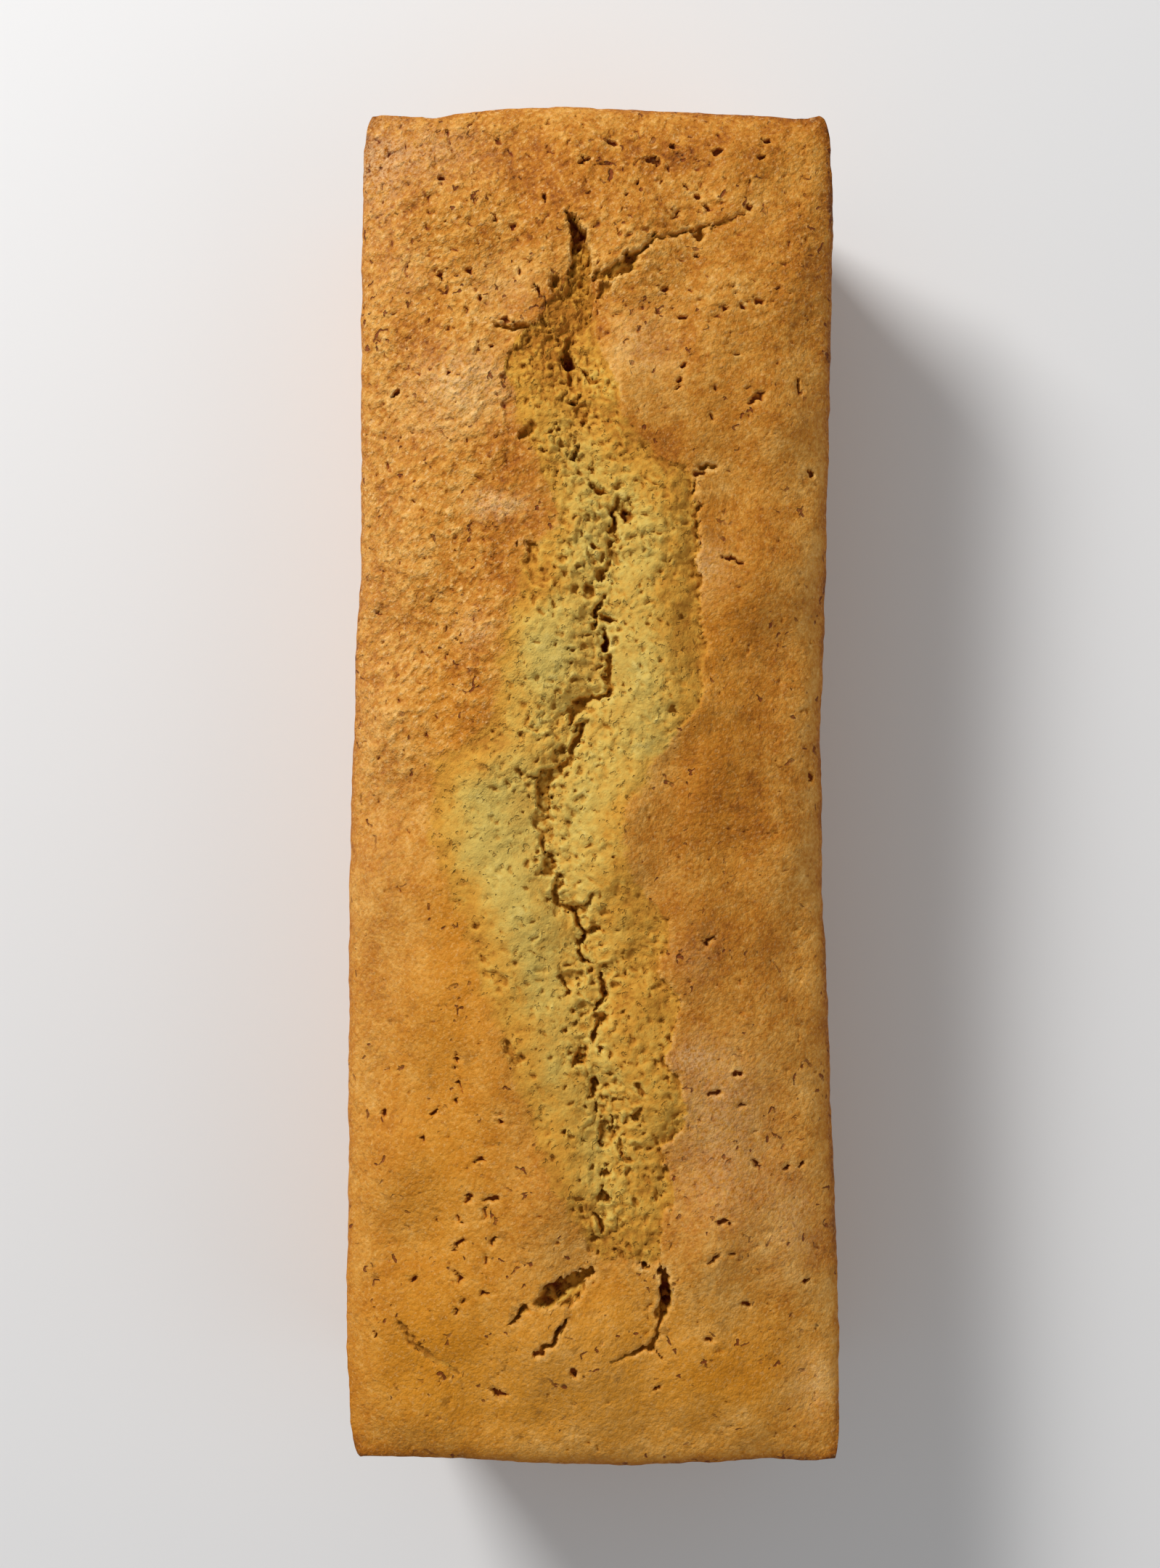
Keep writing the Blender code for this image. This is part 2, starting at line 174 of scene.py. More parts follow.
# Torn openings: stations along each are across, along, half width, depth
CRACK = [
    [(-5.7, 120.8, 0.3, 3), (-5, 119, 0.8, 5), (-3.8, 117.3, 1.1, 6), (-3, 115.2, 1.5, 6),
     (-3.2, 113.2, 1.7, 5), (-2.5, 111.1, 2.3, 3.2), (-2.2, 109.2, 2.3, 3), (-3, 106.9, 2.3, 2.6),
     (-3.3, 104.9, 2.4, 2)],
    [(-4.1, 102.4, 1.8, 1.6), (-2.5, 101.3, 1.1, 2.6), (-1.6, 98.6, 1.2, 2), (-3, 95.3, 1.1, 1.8),
     (-5, 92.8, 0.8, 2.2), (-5.9, 91, 0.6, 3), (-5.4, 89.5, 1.4, 5), (-5.1, 88, 1.2, 6),
     (-4.8, 86.2, 0.6, 3), (-5, 84.1, 0.8, 3), (-5, 82.9, 0.3, 1)], [(-4.1, 79.4, 0.9, 3.5)],
    [(-1.9, 78, 2, 1.2)], [(-0.9, 77.7, 0.6, 2.6), (-1.8, 75.6, 0.8, 3.2)],
    [(-3, 70.8, 0.4, 2), (-3.8, 69.6, 0.5, 3), (-4.1, 68.1, 0.7, 4)], [(-2.1, 68.1, 1.2, 1.6)],
    [(-0.1, 65.4, 0.9, 2.6)],
    [(-0.6, 63.5, 0.3, 2), (0.2, 62, 0.6, 3.5), (1.1, 61.7, 0.8, 4), (2, 60.8, 0.6, 4), (3, 60.4, 0.3, 2)],
    [(4.8, 59.3, 0.8, 3), (3.9, 57.8, 0.6, 4), (4.2, 55.5, 0.6, 5), (4.4, 54.5, 0.8, 5),
     (4.2, 52.5, 1.1, 3), (4.7, 50.9, 0.9, 3)],
    [(4.2, 57.8, 1.2, 2), (6.8, 57.5, 2.4, 1.8), (8.3, 55.7, 1.4, 1.4)], [(7, 56.1, 1.4, 5)],
    [(3.2, 50.4, 0.8, 3.5), (4.2, 48.4, 0.8, 2.8), (5.3, 46.3, 0.9, 1.5)], [(0.5, 49.4, 0.9, 3.4)],
    [(3.8, 46.5, 0.6, 1.5), (2.1, 44.5, 0.9, 2.6), (1.4, 43.5, 1.2, 4), (0.8, 42.4, 0.4, 2)],
    [(-0.7, 40, 1.5, 2.6), (-1.2, 41, 0.8, 3.4)], [(2.1, 39.2, 0.6, 2.6)],
    [(1.7, 38.2, 0.3, 2), (0.9, 37, 0.5, 4), (0.5, 35.2, 0.6, 4.5), (0.8, 33.8, 0.4, 3)],
    [(2, 35.2, 0.9, 2.4), (3.2, 34.3, 0.6, 3.6), (4.7, 34.3, 0.4, 3)], [(-1.8, 35.2, 1.8, 1.2)],
    [(2.3, 32.4, 0.4, 1.8), (2.6, 30.6, 0.8, 5.5), (2.3, 29.1, 0.9, 7), (2.1, 28.1, 0.8, 6)],
    [(3.5, 26.9, 0.8, 2.4), (3.6, 24.6, 1.1, 3.4), (2.6, 23.1, 0.9, 3.4), (3, 21.9, 0.8, 3.2),
     (3.9, 20.4, 0.9, 3.2), (3.2, 18.9, 0.9, 3), (1.4, 18.2, 0.8, 2.8), (-0.7, 18.6, 0.6, 2.6),
     (-2.5, 17.8, 1.1, 3.2), (-3.2, 16.3, 1.4, 3.2), (-4.4, 14.8, 1.2, 3.4), (-4.1, 13.4, 0.9, 3)],
    [(-2.5, 12.5, 0.9, 3.4), (-2.4, 11.3, 0.9, 3.6), (-3.5, 9.8, 0.8, 4), (-4.7, 8.9, 0.6, 4),
     (-5.1, 7.4, 0.8, 3.6), (-4.5, 5.6, 0.9, 3.6), (-5.9, 4.1, 1.1, 3.2), (-7.8, 2.8, 1.2, 3.2),
     (-9.8, 1.9, 1.8, 3.4), (-11.6, 1.9, 1.1, 3), (-13.3, 1.8, 0.4, 2)], [(-6.8, 7.8, 1.1, 3.2)],
    [(-6.2, 5.7, 2.4, 1.5)],
    [(-10.1, 1, 1.7, 3.3), (-10.6, -0.5, 1.5, 3), (-10.4, -2.6, 1.8, 2.8), (-10.7, -4.4, 1.8, 2.6),
     (-10.4, -6.4, 2.3, 2.2), (-10.1, -8.3, 2.1, 2.6), (-9.8, -10.1, 2, 2.6), (-10.1, -11.7, 1.1, 3.4),
     (-9.9, -13.5, 0.4, 3)],
    [(-9.2, -0.2, 0.6, 4), (-9, -2.6, 0.6, 3.6), (-9.5, -6.4, 0.6, 3.4), (-9, -9.5, 0.8, 3.4)],
    [(-8.6, -14.7, 1.2, 3), (-9, -16.5, 1.7, 3.4), (-9.8, -17.7, 1.2, 3.4)],
    [(-7.1, -18.9, 0.8, 2.6), (-6.6, -20.1, 1.2, 2.2), (-7.7, -21, 0.9, 2.6), (-8.4, -22.5, 0.8, 3.6),
     (-7.7, -23.9, 0.9, 3.2), (-6.3, -24.8, 0.8, 3.4), (-4.4, -26, 0.6, 3.4), (-3.5, -27.1, 0.9, 4.6),
     (-3, -28.3, 0.9, 3.8), (-1.9, -30.1, 0.8, 4.6), (-2.1, -31.3, 0.5, 3.8), (-2.9, -32.2, 0.6, 3.8),
     (-2.7, -33.7, 0.5, 4), (-2.2, -35.2, 0.6, 4), (-1.3, -36.4, 0.5, 3.6)],
    [(-3.3, -26.1, 1.1, 3.2), (-1.8, -24.6, 0.9, 2.8), (-0.4, -23.7, 0.8, 2.2), (0, -22.5, 0.3, 1.5)],
    [(-1.6, -30.4, 0.6, 3), (0.2, -29.5, 1.1, 2.4), (1.2, -30.1, 0.4, 3)],
    [(-5.3, -39.7, 1.7, 1.8), (-2.5, -39.7, 1.8, 1.8)], [(-6.5, -39.7, 0.6, 3), (-5, -42.8, 0.4, 2.6)],
    [(-0.7, -38.2, 0.6, 3)], [(-1.8, -46.1, 2, 1.2)], [(-4.4, -46.7, 0.8, 2.4)],
    [(1.4, -39.1, 0.4, 3), (1.7, -40.6, 0.6, 3.6), (2, -42.8, 0.8, 3.6), (2.7, -43.7, 0.6, 3.6),
     (1.4, -45.2, 0.6, 3.6), (0.2, -46.7, 0.6, 3.4)],
    [(2.4, -47.6, 0.9, 2.6), (1.1, -48.5, 1.1, 3.2), (0.5, -49.7, 0.8, 4.2), (0.5, -51.5, 0.6, 3.2),
     (-0.1, -53, 0.4, 2)], [(-2.5, -55.3, 1.4, 1.8)], [(-3, -56.9, 1.4, 3.8), (-3.9, -58.3, 0.4, 2.6)],
    [(1.8, -54.7, 0.6, 3.4)], [(0.5, -61.8, 1.4, 4.4), (0.5, -63, 1.1, 3.8), (-0.4, -64.2, 0.9, 1.8)],
    [(0.5, -66, 0.4, 3), (0.5, -67.7, 0.4, 3)], [(3.8, -69, 0.3, 2), (3.8, -71.4, 0.4, 3)],
    [(2.3, -70.5, 1.2, 1.8), (2, -72.8, 0.9, 2.8), (1.5, -74.8, 0.5, 3.6)],
    [(3.5, -72, 1.2, 2.4), (2.7, -74.3, 1.2, 2)], [(5.3, -73.9, 0.9, 2.2), (5.5, -76.6, 0.6, 1.6)],
    [(2.4, -80.5, 1.2, 2.8)], [(1.7, -85.3, 1.4, 2.8), (3.2, -85.6, 0.9, 4.2)],
    [(0.2, -88.7, 0.4, 2.6), (1.4, -90.5, 0.6, 3.4), (1.7, -92, 0.5, 3.2), (1.5, -93.3, 0.4, 2.6)]]
FAR_TEARS = [
    [(-3.3, 104.3, 3, 1.5), (-3.8, 101.3, 4.2, 1.3), (-5.3, 98.6, 5.1, 1.2), (-7.8, 96.6, 3.9, 1.2),
     (-10.9, 95.4, 2.1, 1.2)], [(-7.7, 105.5, 1.2, 2.4), (-8, 104, 0.9, 2)],
    [(-14.3, 96.2, 0.8, 2), (-16.9, 95.9, 0.5, 2.4), (-19.8, 96.5, 0.5, 1.6), (-21, 97.1, 0.3, 0.8)],
    [(0.2, 106.3, 0.9, 1.8), (4.2, 107.3, 1.4, 2), (7.1, 108.5, 1.7, 3.2), (7.7, 110.1, 1.4, 4.5),
     (9.5, 111.3, 0.6, 3), (11.3, 112.5, 0.6, 2.4), (12.7, 115.9, 0.4, 1.8)],
    [(2.9, 104.3, 1.2, 1.5), (1.4, 102.5, 1.1, 1.3)], [(-1.6, 85.9, 0.4, 3), (-0.7, 84.4, 0.4, 2)],
    [(-0.3, 83.9, 0.6, 0.9), (2.3, 83.5, 1.1, 1), (4.4, 82.7, 0.6, 0.8)],
    [(13, 114, 0.3, 1.2), (21, 117, 0.4, 1.2), (26, 118, 0.3, 1), (33, 121, 0.3, 0.8)],
    [(22.3, 116, 1.1, 2.2)]]
NEAR_TEARS = [
    [(-17.2, -112.2, 0.3, 2.4), (-15.8, -110.6, 0.8, 3.6), (-14.3, -108.3, 0.8, 4),
     (-13.6, -109.2, 0.6, 3)],
    [(-11.3, -108.3, 0.9, 3.6), (-9.8, -106.8, 1.8, 5), (-7.8, -105.3, 1.8, 5.4), (-6.3, -104.5, 1.5, 4.4),
     (-4.1, -103.5, 1.8, 3), (-1.8, -101.9, 1.2, 3), (-0.3, -101.5, 0.9, 3.2)],
    [(-5.6, -107.1, 1.8, 1.8), (-3.3, -104.7, 1.8, 1.6)],
    [(10.9, -99.5, 0.8, 2.8), (11.5, -100.4, 0.8, 3.4)],
    [(-5.3, -111.8, 0.4, 2.4), (-5.9, -113.1, 0.5, 3), (-7.1, -114.6, 0.9, 4), (-8.3, -116.1, 0.5, 3),
     (-10.9, -117.2, 0.6, 2.6)],
    [(14.2, -100.7, 0.6, 3), (14.7, -102.6, 0.9, 4), (15, -105, 1.2, 5.5), (15.3, -107.5, 1.2, 6.5),
     (14.7, -109.8, 0.9, 4.2), (13.8, -112.8, 0.5, 2.2), (12.6, -117.3, 0.5, 2.2)],
    [(13.8, -110.1, 1.2, 1.8)],
    [(12.6, -117.5, 0.5, 2.4), (8.8, -118.9, 0.5, 1.8), (6.2, -119.8, 0.6, 1.6), (3.5, -121.1, 0.3, 1)],
    [(12.6, -117.5, 0.4, 1.8), (14.2, -120.5, 0.3, 1)],
    [(-41, -113.5, 0.6, 1.1), (-37, -118, 0.9, 1.4), (-33, -121, 0.7, 1.1), (-28, -124, 0.5, 0.8)]]
CRUMB_HOLES = [
    [(-14.3, 73.2, 1, 4), (-13.1, 74.4, 1.3, 2.6)], [(-9, 87, 0.7, 2)],
    [(9.2, -62, 0.9, 3), (10.2, -64, 0.7, 3)], [(10.2, -67, 0.7, 2.4), (8.9, -68.6, 1.1, 3)],
    [(16.2, 15.6, 1.2, 2.6)], [(18.3, 35, 0.7, 2)], [(13.6, -74.3, 0.9, 2.8)], [(15.2, -80.5, 1.2, 2.6)],
    [(13, -86.5, 0.8, 2.8), (13.2, -84.6, 0.7, 2)],
    [(-12.5, 49.5, 1.4, 2.4), (-13, 46, 1.6, 1.6), (-11, 43, 2, 1.6)], [(-15.5, 50.5, 0.5, 2.2)],
    [(4.4, -14.7, 0.6, 2.6)], [(22.3, 66.5, 0.7, 3), (25, 67, 0.6, 2.4)],
    [(21.8, 58, 0.5, 2.4), (21.6, 50, 0.6, 2)], [(-7, 13.5, 1.6, 1.2), (-10.5, 12.2, 1, 1)],
    [(-14.6, 10.8, 0.9, 1.8)], [(-20.5, 11.5, 0.6, 1.6)], [(-15.6, 2.6, 0.9, 2.2)], [(-17.8, 0.4, 0.9, 2)],
    [(-13.4, 0.2, 0.7, 1.8)], [(-20.5, -0.6, 0.7, 1.6)], [(-24.1, -29.3, 1, 2.4)],
    [(-16.1, -36.6, 0.8, 1.8)], [(-22.9, -35.8, 0.7, 2.2)],
    [(-19, -40.5, 1.4, 1.6), (-22, -38.6, 1, 1.4)], [(-18, -53.6, 1, 2), (-15.5, -56.5, 1.5, 2.2)],
    [(-6, -50.9, 0.8, 2.4)], [(-6, -72.2, 0.9, 2.4)], [(-8.6, -77, 0.8, 1.8)]]
# Each kind of opening: its routes, the share of its depth that is cut and its walls' greatest width
OPENINGS = ((CRACK, 0.78, 0.7), (FAR_TEARS, 0.85, 0.6), (NEAR_TEARS, 0.85, 0.55), (CRUMB_HOLES, 0.6, 0.7))
# All openings are this much wider on both sides than their stations say
OPENED = 0.1
SWELL_HEIGHT = 1.5
VALLEY_DEPTH = 2.0
VALLEY_WIDTH = 5.5
EDGE_HOLE_DEPTH = 1.6


def nearby(x, y, width):
    """The nine squares of a grid about each point: their columns, rows and keys to a random table."""
    column = np.floor(x / width).astype(int)
    row = np.floor(y / width).astype(int)
    for up in (-1, 0, 1):
        for right in (-1, 0, 1):
            yield column + right, row + up, ((row + up) & 255, (column + right) & 255)


def cells(x, y, width, seed):
    """Splits the surface into random lumps: each one's value, -1 to 1, and 0 to 1 from its edge in."""
    draw = np.random.default_rng(seed)
    place_x, place_y, value = draw.uniform(0.0, 1.0, (3, 256, 256))
    nearest = np.full(np.shape(x), 9.0)
    second = np.full(np.shape(x), 9.0)
    found = np.zeros(np.shape(x))
    for column, row, key in nearby(x, y, width):
        away = np.hypot(column + place_x[key] - x / width, row + place_y[key] - y / width)
        closer = away < nearest
        second = np.where(closer, nearest, np.minimum(second, away))
        nearest = np.where(closer, away, nearest)
        found = np.where(closer, value[key], found)
    return 2.0 * found - 1.0, np.clip(1.6 * (second - nearest), 0.0, 1.0)


def pores(x, y, spacing, share, small, large, slit, seed):
    """Round-bottomed holes, 0 outside and 1 at the bottom, of many sizes and slants."""
    draw = np.random.default_rng(seed)
    place_x, place_y, chance, size, slant, stretch = draw.uniform(0.0, 1.0, (6, 256, 256))
    hole = np.zeros(np.shape(x))
    for column, row, key in nearby(x, y, spacing):
        gap_x = x - (column + place_x[key]) * spacing
        gap_y = y - (row + place_y[key]) * spacing
        turn = math.tau * slant[key]
        radius = small + (large - small) * size[key] ** 2
        long_way = (gap_x * np.cos(turn) + gap_y * np.sin(turn)) / (radius * (1.0 + slit * stretch[key]))
        short_way = (gap_y * np.cos(turn) - gap_x * np.sin(turn)) / radius
        depth = np.clip(1.0 - long_way ** 2 - short_way ** 2, 0.0, 1.0) ** 0.6
        hole = np.maximum(hole, np.where(chance[key] < share, depth, 0.0))
    return hole


def torn_open(x, y, routes, share_open, wall_width):
    """Depth of openings along routes of (across, along, half width, full depth), and their walls' width."""
    depth = np.zeros(np.shape(x))
    for route in routes:
        for (x0, y0, width0, depth0), (x1, y1, width1, depth1) in zip(route, route[1:] or route):
            reach = max(width0, width1) + OPENED
            near = (x > min(x0, x1) - reach) & (x < max(x0, x1) + reach)
            near &= (y > min(y0, y1) - reach) & (y < max(y0, y1) + reach)
            span = max((x1 - x0) ** 2 + (y1 - y0) ** 2, 1e-6)
            share = np.clip(((x[near] - x0) * (x1 - x0) + (y[near] - y0) * (y1 - y0)) / span, 0.0, 1.0)
            away = np.hypot(x[near] - x0 - share * (x1 - x0), y[near] - y0 - share * (y1 - y0))
            width = width0 + share * (width1 - width0) + OPENED
            wall = np.minimum(0.75 * width, wall_width)
            floor = (depth0 + share * (depth1 - depth0)) * ease((width - away) / wall)
            depth[near] = np.maximum(depth[near], floor * share_open)
    return depth


def tattered(x, y, seed):
    """Moves places a little, in slow bends, blocky steps and fine tatters, so that edges look torn."""
    step_x, _ = cells(x, y, 1.9, seed)
    step_y, _ = cells(x, y, 1.9, seed + 1)
    fine_x, _ = cells(x, y, 0.9, seed + 2)
    fine_y, _ = cells(x, y, 0.9, seed + 3)
    bend_x = 0.45 * ripple(x, y, 3.5, seed + 4) + 0.3 * ripple(x, y, 1.3, seed + 5)
    bend_y = 0.45 * ripple(x, y, 3.5, seed + 6) + 0.3 * ripple(x, y, 1.3, seed + 7)
    return x + bend_x + 0.3 * step_x + 0.22 * fine_x, y + bend_y + 0.3 * step_y + 0.22 * fine_y


def burst(x, y):
    """The burst at each point: how far the skin is gone, how pale the crumb, its swell and openings."""
    torn_x, torn_y = tattered(x, y, 50)
    block, _ = cells(torn_x, torn_y, 3.4, 66)
    wide_x = torn_x + 0.9 * ripple(x, y, 6.0, 60) + 0.7 * block
    crack = read_line(CRACK_LINE, y)
    left = read_line(LEFT_TEAR_LINE, y)
    right = read_line(RIGHT_TEAR_LINE, y)
    to_step = read_line(RIGHT_TEAR_LINE, torn_y) - wide_x + 1.3 * ripple(x, y, 9.0, 67)
    from_left = wide_x - read_line(LEFT_TEAR_LINE, torn_y) + 1.2 * ripple(x, y, 3.4, 69)
    from_skin = wide_x - read_line(SKIN_END, torn_y)
    ends = ease((torn_y + 101.0) / 4.0) * ease((101.0 - torn_y) / 7.0)
    soft_left = np.interp(y, [-105, -95, -60, -20, 20, 60, 82, 90], [3.0, 5.0, 8.0, 9.0, 8.0, 5.0, 3.0, 1.2])
    soft_right = np.interp(y, [-100, -28, -18, 2, 16, 62, 72, 100], [0.6, 0.8, 5.0, 6.0, 1.2, 0.6, 4.0, 2.0])
    torn = ease(from_skin / soft_left + 0.5) * ease(to_step / soft_right + 0.5) * ends
    slow_x = x + 1.8 * ripple(x, y, 7.0, 61) + 0.8 * ripple(x, y, 2.2, 62)
    slow_y = y + 1.8 * ripple(x, y, 6.0, 63)
    pale = ease((slow_x - read_line(PALE_LEFT, slow_y)) / 10.0 + 0.4)
    pale = pale * ease((read_line(PALE_RIGHT, slow_y) - slow_x) / 9.0 + 0.4) * ease((slow_y + 100.0) / 14.0)
    pale = pale * ease((92.0 - slow_y) / 30.0)

    swell_ends = ease((y + 100.0) / 20.0) * ease((106.0 - y) / 40.0)
    grown_in = 8.0 * ease((y + 25.0) / 10.0) * ease((24.0 - y) / 8.0)
    swell = SWELL_HEIGHT * ease((x - left) / 10.0) * ease((right + grown_in - x) / 12.0) * swell_ends
    valley = np.exp(-((x - crack) / VALLEY_WIDTH) ** 2)
    valley = valley * ease((y + 102.0) / 25.0) * ease((122.0 - y) / 10.0)
    rise = swell - VALLEY_DEPTH * valley

    trough = np.maximum(5.5 + 3.0 * ripple(x, y, 6.0, 64) + 1.5 * ripple(x, y, 2.4, 65), 1.2)
    right_step = 0.7 * read_line(RIGHT_STEP, torn_y) * ease(to_step / 0.4)
    cuts = right_step * np.clip((trough - to_step) / trough, 0.0, 1.0)
    left_step = 0.8 * read_line(LEFT_STEP, torn_y) * ease(from_left / 0.4)
    cuts = np.maximum(cuts, left_step * np.clip((trough + 3.0 - from_left) / (trough + 3.0), 0.0, 1.0))
    holes = np.zeros(np.shape(x))
    for routes, share_open, wall_width in OPENINGS:
        holes = np.maximum(holes, torn_open(torn_x, torn_y, routes, share_open, wall_width))
    under_edge = ease(to_step / 0.5) * ease((4.5 - to_step) / 2.0)
    under_edge = under_edge * ease((-44.0 - y) / 8.0) * ease((y + 101.0) / 4.0)
    ragged = pores(torn_x, torn_y, 3.0, 0.7, 0.5, 1.2, 0.8, 70)
    holes = np.maximum(holes, EDGE_HOLE_DEPTH * under_edge * ragged)
    lump, lump_inner = cells(torn_x, torn_y, 2.1, 68)
    holes = holes * (1.0 - (0.2 + 0.2 * lump) * ease(lump_inner * 1.6))
    torn = np.maximum(torn, ease(holes / 0.9))
    return torn, pale, rise, np.maximum(cuts, holes)


def crumb_relief(x, y):
    """Torn sponge: soft swells, rounded granules by the crack and open pores, in millimetres."""
    crack = read_line(CRACK_LINE, y)
    upper = ease((y - 5.0) / 15.0) * ease((80.0 - y) / 15.0)
    far_end = ease((y - 76.0) / 10.0)
    aside = 4.0 * np.maximum(upper, far_end)
    near_crack = np.exp(-((x - crack + aside) / (8.0 + 3.0 * upper + 5.0 * far_end)) ** 2)
    right_side = ease((x - crack) / 6.0)
    rough = 0.2 + 0.6 * near_crack + 0.4 * right_side + 0.35 * ease((y - 30.0) / 20.0)
    rough = np.clip(rough + 0.5 * ripple(x, y, 8.0, 88), 0.15, 1.2)
    bend_x = x + 0.6 * ripple(x, y, 2.6, 96) + 0.25 * ripple(x, y, 0.9, 98)
    bend_y = y + 0.6 * ripple(x, y, 2.6, 97) + 0.25 * ripple(x, y, 0.9, 99)
    height, inner = cells(bend_x, bend_y, 3.6, 89)
    lumps = 0.7 * np.abs(ripple(bend_x, bend_y, 2.5, 90)) + 0.25 * np.abs(ripple(bend_x, bend_y, 1.3, 93))
    blocks = near_crack * (0.3 * height + 0.2 * ease(inner * 1.4))
    granule, granule_inner = cells(bend_x, bend_y, 1.7, 101)
    granules = (0.35 + 0.65 * near_crack) * (0.22 * granule + 0.36 * ease(granule_inner * 1.5))
    swells = 0.45 * ripple(x, y, 7.0, 92) + 0.25 * ripple(x, y, 3.2, 91)
    open_pores = np.minimum(1.7 * pores(bend_x, bend_y, 2.5, 0.44, 0.3, 0.85, 0.9, 94), 1.0)
    holes = (0.35 + 0.6 * near_crack) * open_pores
    holes += 0.3 * pores(bend_x, bend_y, 1.5, 0.3, 0.25, 0.5, 0.9, 95)
    return rough * (lumps + blocks + granules - 0.6) + swells - holes


# The browned skin
# The crown's crust, set early by the oven's top heat: matt, wrinkled into flaky folds on the left
# and at the far end, smooth on the right, pitted and slit. Marks: across, along, length, width, turn.
MARKS = [
    (4, 136, 2.7, 1.5, 0), (13, 132, 3, 1.5, 10), (17, 135, 2.1, 1.2, 0), (26, 134, 2.4, 1.5, 0),
    (37, 137, 1.8, 1.2, 0), (36, 133, 1.8, 1.2, 0), (22, 124, 1.8, 1.5, 0), (22, 111, 1.5, 0.9, 0),
    (15, 104, 2.4, 1.5, 0), (27, 100, 1.8, 0.9, 0), (35, 102, 1.8, 0.8, 90), (19, 88, 3.6, 1.1, 60),
    (18, 84, 3.9, 0.9, 70), (34, 81, 4.2, 1.5, 35), (22, 65, 3, 1.2, 0), (46, 66, 2.1, 0.9, 90),
    (29, 47, 6.1, 0.8, -15), (46, 2, 1.8, 0.8, 90), (-32, 128, 1.8, 1.2, 0), (-17, 117, 1.8, 1.2, 30),
    (-26, 108, 1.8, 1.1, 0), (-21, 92, 1.5, 1.2, 0), (-30, 86, 1.8, 1.2, 0), (-17, 97, 5.8, 0.9, -10),
    (24, -32, 3.3, 0.8, 0), (30, -60, 2.1, 1.1, 0), (25, -64, 2.4, 1.1, 20), (31, -67, 1.8, 0.9, 0),
    (-28, -24, 2.4, 0.8, 0), (-19, -70, 2.1, 0.8, 0), (-28.3, -57, 4, 0.6, 84),
    (-27.6, -62.3, 3, 0.5, 100), (-28.5, -65.6, 1.6, 0.8, 80), (-24, -78, 3.3, 0.8, 30),
    (-21, -86, 3.9, 1.2, 10), (-26, -86, 3, 1.2, 50), (-28, -96, 4.8, 0.8, 40), (-23, -106, 2.1, 1.1, 0),
    (-28, -103.4, 3.2, 0.7, 97), (-27.3, -107.8, 2.2, 0.6, 78), (-28.4, -110.6, 1.5, 0.9, 90),
    (-20, -128, 3.6, 1.2, -10), (-4, -123, 3, 1.5, 80), (-11, -118, 2.1, 1.8, 0), (29, -98, 2.1, 0.8, 0),
    (32, -109, 1.8, 1.5, 0), (-31.7, 107.6, 2.6, 0.9, 60), (-15, 108, 2, 0.8, 90),
    (-11.6, 103.9, 2.4, 0.9, -60), (-23.4, 102.4, 1.6, 0.8, 80), (-10, 123.2, 1.8, 0.8, 70),
    (-20.7, 119, 2.4, 0.8, 60), (-1.5, 131.5, 3.2, 0.8, 10), (-41.5, 82.7, 2.6, 1, 60),
    (9, 127, 2, 1, 60), (19.6, 126.5, 2.2, 0.9, -30), (17.4, 120.2, 3.4, 1, 50),
    (24, 121.6, 3, 1, -25), (32.5, 122, 2.2, 0.8, -50), (29.5, 104, 2, 0.7, -60),
    (34.5, 102, 1.8, 0.7, -50), (31, 100.6, 1.5, 0.7, 90), (18.6, 97.8, 2, 1.2, 30),
    (30.2, 90.7, 2.2, 0.6, -20), (43, 84.2, 4, 0.9, 90), (25.4, 82.7, 2.6, 0.7, 80),
    (24.6, 76.7, 2.4, 0.9, 90), (34.4, -79.3, 3.6, 0.8, -50), (40.5, -80.5, 2, 0.7, 45),
    (44.3, -80, 2.2, 0.9, 60), (27, -91, 4.2, 0.8, -5), (24.9, -98.6, 1.8, 1, 40),
    (45.3, -104.7, 2.2, 0.7, 50), (24, -116.3, 1.6, 1, 60), (13.3, -126.6, 2.6, 0.8, 0),
    (-33.5, -68, 2.2, 0.9, 35), (-43.8, -68.7, 2, 0.9, 60), (-35.5, -73.7, 1.8, 0.9, 60),
    (-22.2, -89.1, 2.4, 1.1, 80), (-27.9, -90.6, 1.6, 1, 90), (-21, -94.8, 3, 0.9, 75),
    (-22.2, -98.9, 2.8, 1.3, 70), (-37.7, -103.5, 2.2, 0.9, 80), (-46, -115.5, 2.4, 0.6, -70)]
MARK_DEPTH = 1.5
FOLD_HEIGHT = 0.78
DIAGONAL = 0.7071


def skin_roughness(x, y):
    """How coarse the skin is: flaky on the left and at the far end, smooth elsewhere."""
    flaky = ease((2.0 - x) / 28.0) * ease((y + 25.0) / 50.0)
    far = (0.7 - 0.25 * ease((x - 5.0) / 25.0)) * ease((y - 70.0) / 40.0)
    return 0.28 + 0.72 * np.maximum(flaky, far)


def flakes(value, steps):
    """Turns a soft swell into low terraces with quick edges, as dried skin lifts."""
    level = value * steps
    return (np.floor(level) + ease((level - np.floor(level)) * 3.0)) / steps


def short_splits(x, y, width, rarity, seed):
    """Short angular splits between random lumps, 0 outside and 1 along their middle."""
    bend_x = x + 0.35 * ripple(x, y, 1.3, seed)
    bend_y = y + 0.35 * ripple(x, y, 1.3, seed + 1)
    _, inner = cells(bend_x, bend_y, width, seed + 2)
    present = ease((ripple(x, y, 2.1, seed + 3) - rarity) * 5.0)
    return np.clip(1.25 - inner * width / 0.55, 0.0, 1.0) * present


